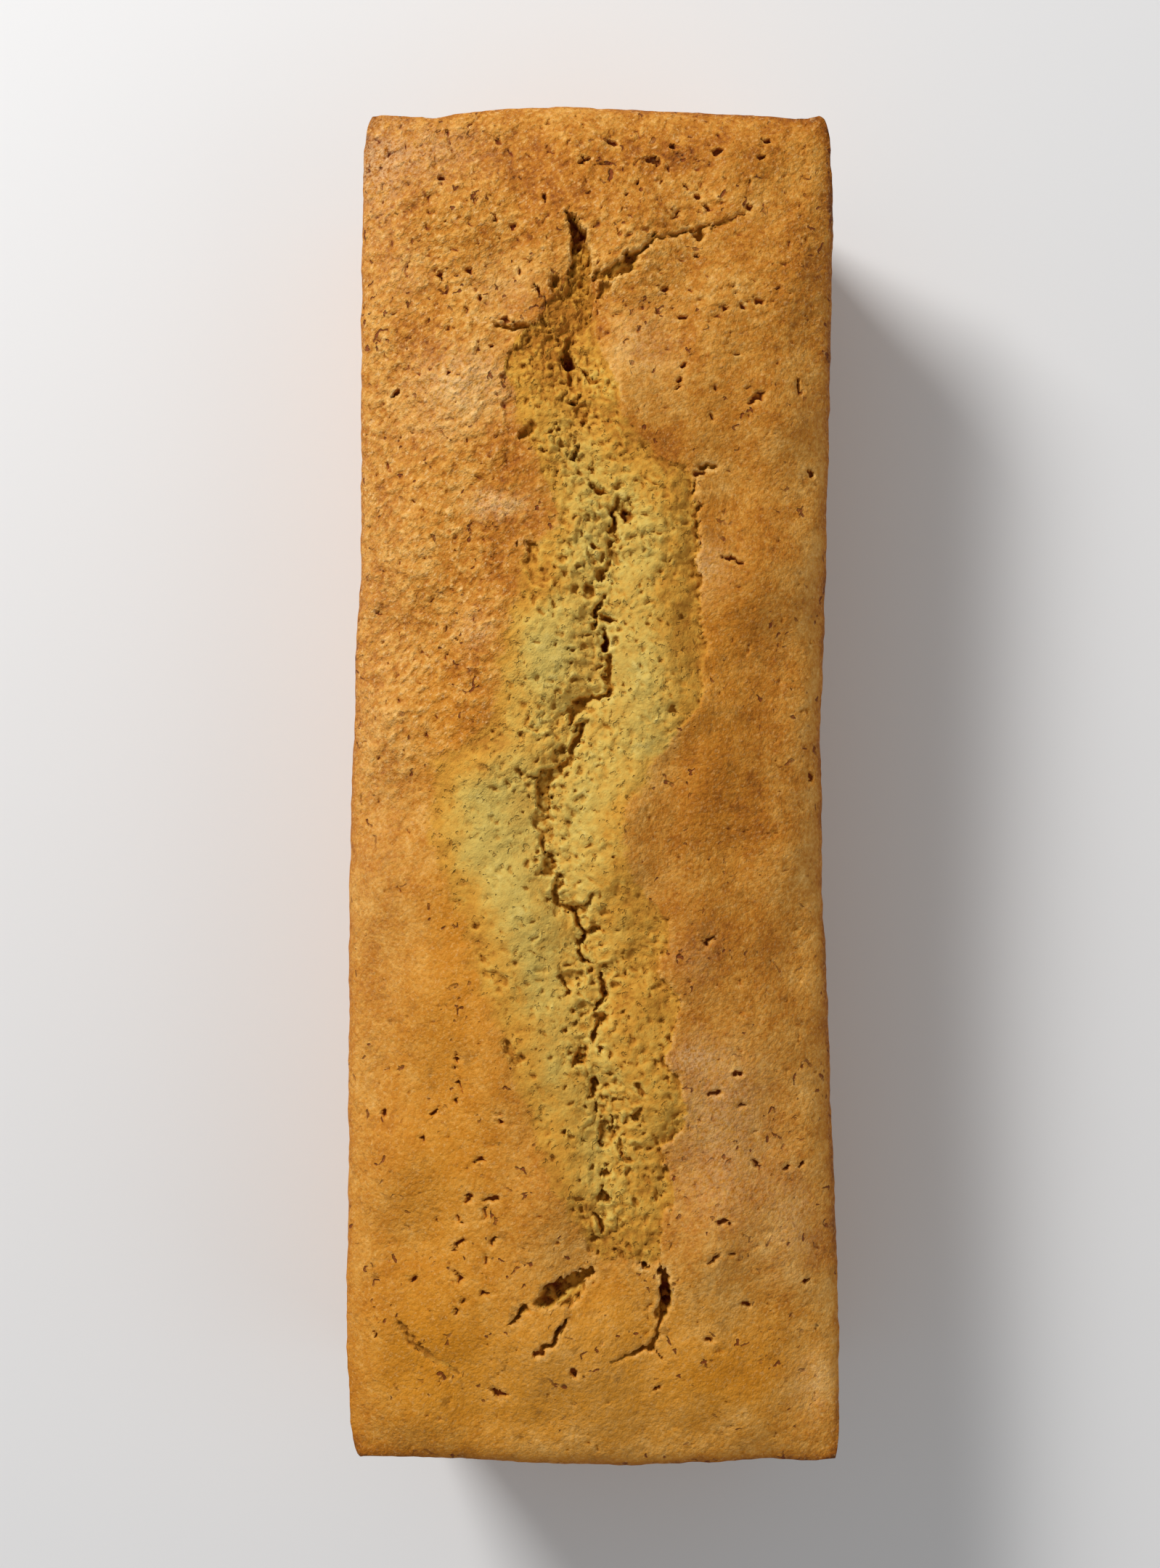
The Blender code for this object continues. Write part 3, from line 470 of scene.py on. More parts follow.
def skin_relief(x, y):
    """Folds, flakes, pits and short splits of the crust, in millimetres."""
    rough = skin_roughness(x, y)
    far = ease((y - 88.0) / 24.0)
    upward = (x + y) * DIAGONAL
    sideways = (y - x) * DIAGONAL
    slant = 0.8 * ripple(upward / 1.3, sideways, 2.8, 110) + 0.45 * ripple(upward / 1.2, sideways, 1.4, 111)
    level = 0.8 * ripple(x / 1.8, y, 3.0, 112) + 0.4 * ripple(x / 1.5, y, 1.5, 113)
    plain = 0.7 * ripple(x, y, 2.2, 118) + 0.5 * ripple(x, y, 1.1, 119)
    slanted = slant * (1.0 - far) + level * far
    smooth_side = np.maximum(ease((-20.0 - y) / 40.0), ease((x - 4.0) / 18.0)) * (1.0 - 0.7 * far)
    smooth_side = np.maximum(smooth_side, 0.4)
    folds = flakes(slanted * (1.0 - smooth_side) + plain * smooth_side, 1.7)
    grain = 0.14 * np.abs(ripple(x, y, 1.7, 114)) + 0.10 * ripple(x, y, 1.0, 116)
    rarity = 0.56 - 0.18 * rough - 0.18 * ease((y - 85.0) / 20.0)
    torn_bits = 0.8 * short_splits(x, y, 5.0, rarity, 150) + 0.4 * pores(x, y, 3.6, 0.22, 0.25, 0.5, 1.6, 117)
    splits = np.zeros_like(x)
    jag_x, jag_y = tattered(x, y, 115)
    for across, along, length, width, degrees in MARKS:
        turn = math.radians(degrees)
        long_way = ((jag_x - across) * math.cos(turn) + (jag_y - along) * math.sin(turn)) / (length / 2)
        short_way = ((jag_y - along) * math.cos(turn) - (jag_x - across) * math.sin(turn)) / (width / 2)
        inside = np.clip(2.0 - 2.0 * long_way ** 2 - 2.0 * short_way ** 2, 0.0, 1.0)
        splits = np.maximum(splits, MARK_DEPTH * inside)
    torn_bits = torn_bits * (0.5 + 0.5 * rough)
    lifted = FOLD_HEIGHT * (rough - 0.12) * folds + rough * grain
    return lifted + 0.25 * ripple(x, y, 9.0, 109) - torn_bits - splits


def edge_wobble(x, y):
    """How far the rim stands out of its even line, in millimetres."""
    return 0.22 * ripple(x, y, 6.0, 120) + 0.12 * ripple(x, y, 2.2, 121)


# The cake's one mesh
# The cake is a single piece, from crown to base. The crown is a grid of points, finer over the
# burst; the sides are rings down to a rounded edge and a flat base; flat stretches are then thinned.
CROWN_ROWS = 900
CRUST_COLUMNS = 76
CRUMB_COLUMNS = 146
BURST_MARGIN = 3.5
WALL_RINGS = 46
EDGE_RINGS = 5
BASE_RINGS = (0.97, 0.9, 0.78, 0.6, 0.4, 0.2)
TRIANGLES = 196000
SHEET_SIZE = 300.0


def crown_surface(x, y):
    """Height of the finished crown, in millimetres."""
    across, along = crown_places(x, y)
    inside = ease((1.0 - np.abs(across)) * 12.0) * ease((1.0 - np.abs(along)) * 34.0)
    torn, _, rise, cuts = burst(x, y)
    skin = skin_relief(x, y) * (1.0 - torn) + crumb_relief(x, y) * torn
    return dome(x, y) + rise - cuts + skin * (0.25 + 0.75 * inside)


def crown_grid():
    """Points of the crown seen from above, from the near end to the far end."""
    rows = np.linspace(-LENGTH / 2, LENGTH / 2, CROWN_ROWS)
    left_rim = read_line(LEFT_RIM, rows, 2.0)
    rim_scorch_and_shade = read_line(RIGHT_RIM, rows, 2.0)
    left = read_line(LEFT_TEAR_LINE, rows, 6.0) - BURST_MARGIN
    right = read_line(RIGHT_TEAR_LINE, rows, 6.0) + BURST_MARGIN
    columns = [left_rim + share * (left - left_rim) for share in np.linspace(0, 1, CRUST_COLUMNS) ** 1.15]
    columns += [left + share * (right - left) for share in np.linspace(0, 1, CRUMB_COLUMNS)[1:-1]]
    columns += [right + share * (rim_scorch_and_shade - right) for share in 1 - np.linspace(1, 0, CRUST_COLUMNS) ** 1.15]
    x = np.array(columns).T
    near = read_line(NEAR_RIM, x[0], 1.5)
    far = read_line(FAR_RIM, x[-1], 1.5)
    share = np.linspace(0.0, 1.0, CROWN_ROWS)[:, None]
    blend = np.abs(2.0 * share - 1.0) ** 8
    y = rows[:, None] * (1.0 - blend) + np.where(share < 0.5, near[None, :], far[None, :]) * blend
    return x, y


def cake_points():
    """All points of the cake and the faces between them."""
    x, y = crown_grid()
    z = crown_surface(x, y)
    rows, columns = x.shape
    number = np.arange(rows * columns).reshape(rows, columns)
    corners = [number[:-1, :-1], number[:-1, 1:], number[1:, 1:], number[1:, :-1]]
    quads = [np.stack(corners, -1).reshape(-1, 4)]
    rim = np.concatenate([number[0], number[1:, -1], number[-1, -2::-1], number[-2:0:-1, 0]])

    side = np.exp(-((x - x[:, :1]) / 2.0) ** 2) * -edge_wobble(x[:, :1], y)
    side = side + np.exp(-((x - x[:, -1:]) / 2.0) ** 2) * edge_wobble(x[:, -1:], y)
    end = np.exp(-((y - y[:1]) / 2.0) ** 2) * -edge_wobble(x, y[:1])
    end = end + np.exp(-((y - y[-1:]) / 2.0) ** 2) * edge_wobble(x, y[-1:])
    crown = np.stack([x + side, y + end, z], -1).reshape(-1, 3)
    even = np.stack([x, y, z], -1).reshape(-1, 3)[rim]
    wobble = crown[rim] - even

    step = np.roll(even, -1, 0) - np.roll(even, 1, 0)
    outward = np.stack([step[:, 1], -step[:, 0]], -1)
    outward /= np.linalg.norm(outward, axis=1)[:, None]
    round_way = np.concatenate([[0.0], np.cumsum(np.linalg.norm(np.diff(even[:, :2], axis=0), axis=1))])
    half_width = np.abs(even[:, 0]).max()
    half_length = np.abs(even[:, 1]).max()

    def ring(height_share, edge, height, relief):
        hollow = SIDE_HOLLOW * math.sin(math.pi * height_share)
        points = even.copy()
        points[:, 0] *= 1.0 - (SIDE_LEAN * height_share + hollow + edge) / half_width
        points[:, 1] *= 1.0 - (END_LEAN * height_share + hollow + edge) / half_length
        points[:, 2] = even[:, 2] * height
        up = points[:, 2]
        bump = 0.2 * ripple(round_way, up, 9.0, 130) + 0.12 * ripple(round_way, up, 2.8, 131)
        bump = bump - 0.5 * pores(round_way, up, 5.5, 0.45, 0.5, 1.5, 0.7, 132)
        bump = bump - 0.3 * pores(round_way, up, 2.8, 0.35, 0.4, 0.8, 0.8, 133)
        points[:, :2] += outward * (bump * relief)[:, None]
        points += wobble * max(0.0, 1.0 - height_share * 8.0)
        return points

    rings = []
    wall_end = 1.0 - BASE_EDGE_HEIGHT / RIM_HEIGHT
    for share in np.linspace(0.0, wall_end, WALL_RINGS + 1)[1:]:
        rings.append(ring(share, 0.0, 1.0 - share, np.full(len(rim), min(1.0, share * 10.0))))
    for turn in np.linspace(0.0, math.pi / 2, EDGE_RINGS + 1)[1:]:
        share = 1.0 - (1.0 - wall_end) * (1.0 - math.sin(turn))
        edge = BASE_EDGE_WIDTH * (1.0 - math.cos(turn))
        rings.append(ring(share, edge, 1.0 - share, np.full(len(rim), math.cos(turn))))
    rings[-1][:, 2] = 0.0
    for share in BASE_RINGS:
        rings.append(rings[WALL_RINGS + EDGE_RINGS - 1] * [share, share, 0.0])

    upper = rim
    first = len(crown)
    for points in rings:
        lower = np.arange(first, first + len(points))
        quads.append(np.stack([upper, lower, np.roll(lower, -1), np.roll(upper, -1)], -1))
        upper = lower
        first += len(points)
    return np.concatenate([crown] + rings), np.concatenate(quads), upper[::-1]


def thinned(mesh, triangles):
    """The same surface with its flattest stretches made of fewer, larger triangles."""
    holder = bpy.data.objects.new("thinning", mesh)
    bpy.context.scene.collection.objects.link(holder)
    thin = holder.modifiers.new("thin", "DECIMATE")
    thin.ratio = triangles / sum(len(face.vertices) - 2 for face in mesh.polygons)
    ready = holder.evaluated_get(bpy.context.evaluated_depsgraph_get())
    fine = bpy.data.meshes.new_from_object(ready)
    bpy.data.objects.remove(holder)
    return fine


def read_all(items, name, width, kind=np.float32):
    """One property of all of a mesh's points, corners or faces, as rows of numbers."""
    values = np.empty(len(items) * width, kind)
    items.foreach_get(name, values)
    return values.reshape(-1, width)


def lay_flat(mesh):
    """Maps the surface onto one flat sheet: the crown, each side with an end beside it, then the base."""
    corners = read_all(mesh.loops, "vertex_index", 1, np.int32)[:, 0]
    sizes = read_all(mesh.polygons, "loop_total", 1, np.int32)[:, 0]
    face = np.repeat(np.arange(len(sizes)), sizes)
    facing_x, facing_y, facing_z = read_all(mesh.polygons, "normal", 3)[face].T
    middle = read_all(mesh.polygons, "center", 3)[face, 2] / MM
    x, y, z = read_all(mesh.vertices, "co", 3)[corners].T / (SHEET_SIZE * MM)
    crown = (middle > RIM_HEIGHT + 0.3) | ((facing_z > 0.4) & (middle > RIM_HEIGHT - 2.0))
    under = facing_z < -0.7
    long_side = np.abs(facing_x) > np.abs(facing_y)
    second = np.where(long_side, facing_x, facing_y) > 0.0
    u = np.where(long_side | under, 0.75 * y + 0.375, 0.75 * x + 0.87)
    v = np.where(under, 0.75 * x + 0.8, 0.75 * z + np.where(second, 0.512, 0.36))
    sheet = np.stack([np.where(crown, y + 0.5, u), np.where(crown, x + 0.177, v)], -1)
    mesh.uv_layers.new(name="OFBake").data.foreach_set("uv", sheet.astype(np.float32).ravel())


points, quads, last_face = cake_points()
dense = bpy.data.meshes.new("dense cake")
dense.from_pydata((points * MM).tolist(), [], quads.tolist() + [last_face.tolist()])
cake_mesh = thinned(dense, TRIANGLES)
bpy.data.meshes.remove(dense)
cake_mesh.name = "sponge_cake"
cake_mesh.shade_smooth()
lay_flat(cake_mesh)
cake = bpy.data.objects.new("sponge_cake", cake_mesh)
bpy.context.scene.collection.objects.link(cake)
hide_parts("cake")
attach(cake, "root")

# How the cake browned
# The oven browned the skin unevenly, scorched the rim and corners, and left the crumb pale, with
# toasted edges. Patches are across, along, half width, half length and strength. Painted light and
# shade lie on top: paler humps, darker hollows, pits, splits, pores, bubbles and openings, highlights
# on flake edges and along the right tear's edge, and extra shade on the right rim.
BROWN_PATCHES = [
    (-37, 94, 4, 6, 0.9), (-18, 54, 9, 4, 0.6), (-13, 43, 6, 4, 0.6), (-30, 17, 5, 8, 0.4),
    (-20, 46, 5, 8, 0.3), (-25, 29, 4, 5, 0.3), (-15, 72, 4, 8, 0.4), (-26, -51, 4, 8, 0.2),
    (-27, -33, 5, 6, 0.3), (15, 71, 8, 5, 0.6), (30, 55, 8, 8, 0.3), (30, 30, 9, 16, 0.45),
    (27, 2, 11, 12, 0.45), (33, -7, 6, 6, 0.35), (21, -26, 10, 7, 0.4), (27, -36, 7, 7, 0.45),
    (40, 10, 8, 30, 0.2), (20, -76, 3, 3, 0.4), (-24, 133, 6, 2, 0.3), (14, 131, 12, 3, 0.4),
    (34, 133, 5, 4, 0.4), (-16, 88, 5, 4, 0.35), (-4, 98, 6, 7, 1.6), (-14, 131, 22, 10, 0.4),
    (42, 108, 9, 14, 0.5), (41, -109, 4, 5, 0.4), (47, -100, 3, 5, 0.5), (46, -135, 4, 4, 0.4),
    (-33, -116, 12, 9, 0.6), (30, -123, 9, 8, 0.7), (32, -88, 7, 8, 0.25), (-42, 134, 10, 8, 0.3),
    (-20, 8, 6, 5, 1), (-24, -98, 16, 10, 0.15), (-2, 74, 6, 8, 0.5), (-19, 72, 5, 6, 0.5),
    (24, 134, 12, 5, 0.5), (-9, 92, 6, 6, 0.7), (-9, 124, 8, 10, 0.35), (-43, 118, 7, 8, 0.3),
    (-43, -72, 6, 8, 0.25)]
# Less browned patches; those along the right tear's edge are painted highlight on its lit edge
PALE_AND_LIT_PATCHES = [
    (-27, 80, 12, 10, 0.4), (-42, 90, 8, 10, 0.2), (-20, 59, 6, 2.5, 0.8), (-25, 32, 4, 6, 0.3),
    (10, 92, 6, 6, 0.3), (24, 46, 5, 4, 0.4), (30, -60, 9, 14, 0.2), (0, -130, 20, 11, 0.3),
    (20, -72, 5, 6, 0.4), (2, 87, 5, 5, 0.7), (25, 64, 4, 8, 0.35), (27, 30, 3, 10, 0.3),
    (45, 10, 5, 70, 0.5), (11, -66, 4, 10, 0.4), (13, 6, 6, 6, 0.9), (-9, -28, 4, 6, 0.5),
    (3, -39, 5, 5, 0.5), (25, 18, 4, 6, 0.4), (36, -94, 6, 8, 0.3)]
GREEN_PATCHES = [
    (-20, -8, 9, 16, 1), (-16, -34, 6, 14, 0.9), (-10, -56, 4, 12, 0.8), (-10, 28, 7, 10, 1),
    (-2, 52, 4, 12, 0.8), (11, 50, 6, 9, 0.6), (10, 24, 7, 10, 0.8), (-4, 68, 6, 8, 0.6),
    (-3, -6, 5, 12, 0.4), (-1, -80, 4, 12, 0.5)]
DUST_PATCHES = [
    (-28, 84, 10, 7, 1), (-34, 74, 7, 4, 0.3), (-46, 128, 5, 12, 0.6), (-40, 108, 6, 6, 0.3),
    (-38, 134, 14, 7, 0.7), (-18, 104, 6, 6, 0.4), (-20, 59, 5, 2.5, 1.4), (-25, 32, 3, 4, 0.7),
    (10, 92, 6, 6, 0.5), (24, 46, 4, 5, 0.7), (20, -56, 5, 3, 0.9), (26, -64, 9, 9, 0.6),
    (27, -80, 10, 12, 0.6), (42, -92, 6, 10, 0.5), (22, -36, 4, 6, 0.3), (47, -127, 5, 6, 0.5),
    (-47, 30, 9, 90, 0.22)]
GOLD_PATCHES = [
    (-32, -84, 18, 40, 0.65), (-2, -127, 38, 16, 1.1), (34, -122, 14, 12, 0.4), (-38, -120, 12, 16, 0.4),
    (-26, -30, 10, 24, 0.55), (-30, 12, 8, 14, 0.3), (26, 20, 8, 40, 0.3), (4, -108, 16, 8, 0.5)]
HALF_WIDTH = 50.0
HALF_LENGTH = 143.0
# Humps and pits are told by the mean height of this many points, this many millimetres away; the material
# paints highlight on humps and shade in pits
RING_POINTS = 6
RING = 0.9
# Colours as seen on a screen, 0 to 255. The shades run from the least browned to the most.
SKIN_SHADES = [(0, (240, 196, 122)), (0.22, (220, 164, 82)), (0.42, (202, 138, 52)),
               (0.6, (184, 114, 28)), (0.8, (154, 86, 12)), (1, (104, 52, 8))]
CRUMB_SHADES = [(0, (226, 196, 110)), (0.22, (212, 176, 84)), (0.45, (208, 161, 68)),
                (0.7, (202, 144, 50)), (1, (168, 106, 28))]
SIDE_SHADES = [(0, (224, 174, 96)), (0.3, (208, 148, 66)), (0.6, (180, 114, 38)), (1, (124, 68, 18))]
GOLDEN = (212, 138, 24)
# Painted highlight on the raised flake edges
FLAKE_HIGHLIGHT = (240, 198, 134)
TAN_DAB = (140, 90, 26)
FLOURY = (226, 180, 126)
SKIN_SPECK = (232, 186, 116)
# Painted shade in the narrow splits of the skin
SPLIT_SHADE = (118, 48, 6)
# Painted shade in the skin's hollows
SKIN_HOLLOW_SHADE = (120, 50, 6)
COOL_CRUMB = (182, 158, 80)
# Painted shade in the crumb's pores and hollows
CRUMB_PORE_SHADE = (148, 96, 16)
# Painted shade in the pinhole bubbles of the tin sides
SIDE_BUBBLE_SHADE = (122, 70, 22)
SIDE_SPECK = (228, 184, 112)
# Painted shade in the openings, by depth: shallow, then deep
SHALLOW_TEAR_SHADE = (174, 118, 28)
DEEP_TEAR_SHADE = (128, 50, 6)


def patches(x, y, spots):
    """Adds up soft patches, each an oval across and along."""
    total = np.zeros_like(x)
    for across, along, half_width, half_length, strength in spots:
        reach = ((x - across) / half_width) ** 2 + ((y - along) / half_length) ** 2
        total += strength * np.exp(-reach)
    return total


def paint_field(name, values):
    """Stores one value for each point of the cake, for the material to read."""
    layer = cake_mesh.attributes.new(name, "FLOAT", "POINT")
    layer.data.foreach_set("value", np.clip(values, 0.0, 1.0).astype(np.float32))


x, y, z = read_all(cake_mesh.vertices, "co", 3).astype(float).T / MM
torn, pale, rise, _ = burst(x, y)
across, along = crown_places(x, y)
from_side = (1.0 - np.abs(across)) * HALF_WIDTH
from_end = (1.0 - np.abs(along)) * HALF_LENGTH
from_rim = np.minimum(from_side, from_end)
moved_x = x + 2.0 * ripple(x, y, 5.0, 140) + 1.0 * ripple(x, y, 2.0, 147)
moved_y = y + 2.0 * ripple(x, y, 5.0, 141) + 1.0 * ripple(x, y, 2.0, 148)
brown = patches(moved_x, moved_y, BROWN_PATCHES)
# Paler spots of the skin, with painted highlight along the right tear's lit edge
light = patches(moved_x, moved_y, PALE_AND_LIT_PATCHES)
browning = 0.48 + 0.02 * ease((x + 10.0) / 40.0) - 0.13 * ease((-85.0 - y) / 30.0) * ease((x + 40.0) / 30.0)
browning += 0.34 * brown - 0.26 * light
# The rim is scorched all round; the extra darkening on the right rim, away from the light, is painted shade
rim_scorch_and_shade = 0.13 + 0.13 * ease((across + 0.4) / 0.8)
scorch_width = 1.3 + 0.5 * ripple(x, y, 5.0, 151)
at_corner = np.exp(-((from_side + from_end) / 12.0) ** 2)
browning += rim_scorch_and_shade * np.exp(-(from_rim / scorch_width) ** 2) + 0.12 * at_corner
browning += 0.2 * np.exp(-((1.0 + along) * HALF_LENGTH / 2.6) ** 2)
browning += 0.07 * ripple(x, y, 14.0, 142) + 0.07 * ripple(x, y, 4.5, 143)
height = z - dome(x, y) - rise
wall = ease((RIM_HEIGHT - 0.5 - z) / 2.0)
wall_browning = 0.45 + 0.2 * ease((10.0 - z) / 10.0) + 0.15 * ease(1.2 - z) - 0.15 * ease((z - 40.0) / 14.0)
wall_browning += 0.16 * ripple(x + y, z, 13.0, 152) + 0.12 * ripple(x + y, z, 5.0, 153)
paint_field("browning", browning)
paint_field("crumb", torn * (1.0 - wall))
green = np.clip(patches(moved_x, moved_y, GREEN_PATCHES), 0.0, 1.0)
toast = 0.72 - pale * (0.34 + 0.14 * green) + 0.2 * brown - 0.25 * light
toast += 0.15 * np.exp(-((moved_x - read_line(CRACK_LINE, y) + 2.0) / 6.0) ** 2)
paint_field("toast", toast + 0.08 * ripple(x, y, 4.0, 149))
paint_field("cool_crumb", green * pale)
around = 0.0
for turn in np.arange(RING_POINTS) * math.tau / RING_POINTS:
    around = around + crown_surface(x + RING * math.cos(turn), y + RING * math.sin(turn))
hump = np.where((wall > 0.0) | (from_rim < RING), 0.0, z - around / RING_POINTS)
# Depth below the crown's even surface, read by the material for painted shade in the openings
paint_field("depth", np.where(wall > 0.0, 0.0, -height / 6.0))
# Height over the nearby surface: the material paints humps lighter and hollows darker, as painted light and
# shade
paint_field("relief", 0.5 + 0.8 * hump)
paint_field("dust", patches(moved_x, moved_y, DUST_PATCHES) * (1.0 - wall))
paint_field("gold", patches(moved_x, moved_y, GOLD_PATCHES) * (1.0 - wall))
paint_field("tin_side", wall)
paint_field("side_tone", wall_browning)
paint_field("coarse_skin", skin_roughness(x, y) * (1.0 - wall) + 0.3 * wall)


def paint(red, green, blue):
    """A 0-to-255 colour, as seen on a screen, as the shader's light values."""
    return tuple(((part / 255 + 0.055) / 1.055) ** 2.4 for part in (red, green, blue)) + (1.0,)


baked = bpy.data.materials.new("baked_sponge")
baked.use_nodes = True
tree = baked.node_tree
shader = tree.nodes["Principled BSDF"]


def node(kind, **settings):
    """Adds a node to the sponge's material."""
    made = tree.nodes.new(kind)
    for name, value in settings.items():
        setattr(made, name, value)
    return made


def field(name):
    """The value stored on the cake under this name."""
    return node("ShaderNodeAttribute", attribute_name=name).outputs["Fac"]


on_cake = node("ShaderNodeTexCoord").outputs["Object"]


def texture(kind, width_mm, place, **settings):
    """A texture whose marks are this wide, laid by a place on the cake."""
    made = node(kind, **settings)
    made.inputs["Scale"].default_value = 1.0 / (width_mm * MM)
    tree.links.new(place, made.inputs["Vector"])
    return made


def noise(width_mm, detail=3.0, roughness=0.6, stretch=1.0):
    """Random values about 0.5 in patches of this width, drawn out along a slant."""
    slanted = node("ShaderNodeMapping", vector_type="TEXTURE")
    slanted.inputs["Rotation"].default_value = (0.0, 0.0, math.radians(40.0))
    slanted.inputs["Scale"].default_value = (stretch, 1.0, 1.0)
    tree.links.new(on_cake, slanted.inputs["Vector"])
    made = texture("ShaderNodeTexNoise", width_mm, slanted.outputs["Vector"])
    made.inputs["Detail"].default_value = detail
    made.inputs["Roughness"].default_value = roughness
    return made.outputs["Fac"]


def reckon(operation, *values):
    """A sum worked out at each point: the operation's name and its numbers or sockets."""
    made = node("ShaderNodeMath", operation=operation)
    for socket, value in zip(made.inputs, values):
        if isinstance(value, float):
            socket.default_value = value
        else:
            tree.links.new(value, socket)
    return made.outputs[0]


def add_part(first, second, amount):
    """The first value with some of the second, counted from its middle of 0.5."""
    return reckon("MULTIPLY_ADD", reckon("SUBTRACT", second, 0.5), amount, first)


def shades(value, stops):
    """Colours along a value from 0 to 1."""
    ramp = node("ShaderNodeValToRGB")
    bar = ramp.color_ramp.elements
    while len(bar) < len(stops):
        bar.new(0.5)
    for stop, (place, colour) in zip(bar, stops):
        stop.position = place
        stop.color = paint(*colour)
    tree.links.new(value, ramp.inputs["Fac"])
    return ramp.outputs["Color"]


def mixed(first, second, share):
    """Blends from the first colour to the second by a share from 0 to 1."""
    mix = node("ShaderNodeMix", data_type="RGBA")
    for socket, value in ((mix.inputs[0], share), (mix.inputs[6], first), (mix.inputs[7], second)):
        if isinstance(value, (float, tuple)):
            socket.default_value = value
        else:
            tree.links.new(value, socket)
    return mix.outputs[2]


def tinted(under, colour, share, amount=1.0):
    """Lays a screen colour over what is under it, by a share of this amount."""
    return mixed(under, paint(*colour), reckon("MULTIPLY", share, amount))


def spread(value, low, high):
    """Stretches a value so that low becomes 0 and high becomes 1."""
    stretch = node("ShaderNodeMapRange")
    stretch.inputs["From Min"].default_value = low
    stretch.inputs["From Max"].default_value = high
    tree.links.new(value, stretch.inputs["Value"])
    return stretch.outputs["Result"]


grit = noise(0.9, 3.0, 0.6)
flake = noise(1.5, 3.0, 0.6, 1.4)
mottle = noise(4.0, 5.0, 0.68)
clouds = noise(11.0, 3.0, 0.55)
coarse_skin = field("coarse_skin")
relief = field("relief")
crumb_share = spread(add_part(field("crumb"), noise(2.0, 4.0, 0.65), 1.3), 0.3, 0.7)

skin_tone = add_part(add_part(field("browning"), grit, 0.65), mottle, 0.6)
skin_tone = add_part(skin_tone, clouds, 0.4)
# Painted light and shade: the flake pattern that raises the bump also makes raised flakes paler and low ones
# browner
flaky = reckon("MULTIPLY_ADD", reckon("SUBTRACT", flake, 0.5), coarse_skin, 0.5)
# Painted light and shade: skin on humps is made paler and skin in hollows browner
skin_tone = add_part(add_part(skin_tone, flaky, -0.7), relief, -0.45)
skin = tinted(shades(skin_tone, SKIN_SHADES), GOLDEN, field("gold"), 0.68)
# Painted highlight: pale flecks on the highest parts of the flake bump
flake_highlight = reckon("MULTIPLY", coarse_skin, spread(flake, 0.42, 0.56))
flake_highlight = reckon("MULTIPLY", spread(noise(0.8, 2.0, 0.6, 1.3), 0.56, 0.68), flake_highlight)
skin = tinted(skin, FLAKE_HIGHLIGHT, flake_highlight, 0.5)
dab = reckon("MULTIPLY", spread(noise(3.2, 5.0, 0.7), 0.55, 0.66), spread(coarse_skin, 0.7, 0.2))
skin = tinted(skin, TAN_DAB, dab, 0.5)
dusty = reckon("MULTIPLY", field("dust"), spread(noise(0.8, 4.0, 0.7), 0.40, 0.58))
skin = tinted(skin, FLOURY, dusty, 0.6)

bent = texture("ShaderNodeTexNoise", 1.6, on_cake)
bent.inputs["Detail"].default_value = 2.0
bend = node("ShaderNodeVectorMath", operation="MULTIPLY_ADD")
bend.inputs[1].default_value = (1.8 * MM, 1.8 * MM, 0.0)
tree.links.new(bent.outputs["Color"], bend.inputs[0])
tree.links.new(on_cake, bend.inputs[2])
seams = texture("ShaderNodeTexVoronoi", 4.2, bend.outputs["Vector"], feature="DISTANCE_TO_EDGE")
few = reckon("MULTIPLY", spread(noise(2.2, 1.0, 0.5), 0.62, 0.67), spread(noise(12.0, 2.0, 0.5), 0.47, 0.58))
slit = reckon("MULTIPLY", spread(seams.outputs["Distance"], 0.065, 0.03), few)
slit = reckon("MULTIPLY", slit, reckon("SUBTRACT", 1.0, crumb_share))
speck = spread(noise(0.7, 2.0, 0.6), 0.58, 0.70)
skin = tinted(skin, SKIN_SPECK, speck, 0.3)
# Painted shade: the skin's narrow splits, also sunk by the bump, are painted dark
skin = tinted(skin, SPLIT_SHADE, slit, 0.9)
# Painted shade: skin lying below its surroundings is darkened
skin = tinted(skin, SKIN_HOLLOW_SHADE, spread(relief, 0.26, 0.0))

crumb_tone = add_part(add_part(field("toast"), grit, 0.35), mottle, 0.9)
# Painted light and shade: crumb on humps is made paler and crumb in hollows darker
crumb_colour = shades(add_part(crumb_tone, relief, -0.5), CRUMB_SHADES)
crumb_colour = tinted(crumb_colour, COOL_CRUMB, field("cool_crumb"), 0.55)
# Painted shade: pores, also sunk by the bump, and low crumb are darkened
pore = spread(noise(1.5, 2.0, 0.55), 0.38, 0.30)
pore_shade = reckon("MAXIMUM", reckon("MULTIPLY", pore, 0.5), spread(relief, 0.34, 0.04))
crumb_colour = tinted(crumb_colour, CRUMB_PORE_SHADE, pore_shade, 0.65)

tin_side = field("tin_side")
side_tone = add_part(add_part(field("side_tone"), mottle, 0.8), grit, 0.5)
# Painted shade: the side's bubbles, also sunk by the bump, are darkened
bubbles = texture("ShaderNodeTexVoronoi", 2.0, on_cake)
bubble = spread(bubbles.outputs["Distance"], 0.34, 0.16)
bubble = reckon("MULTIPLY", bubble, spread(noise(3.5, 2.0, 0.5), 0.47, 0.57))
bubble = reckon("MULTIPLY", bubble, tin_side)
side = tinted(shades(side_tone, SIDE_SHADES), SIDE_BUBBLE_SHADE, bubble, 0.5)
side = tinted(side, SIDE_SPECK, speck, 0.3)
colour = mixed(skin, crumb_colour, crumb_share)
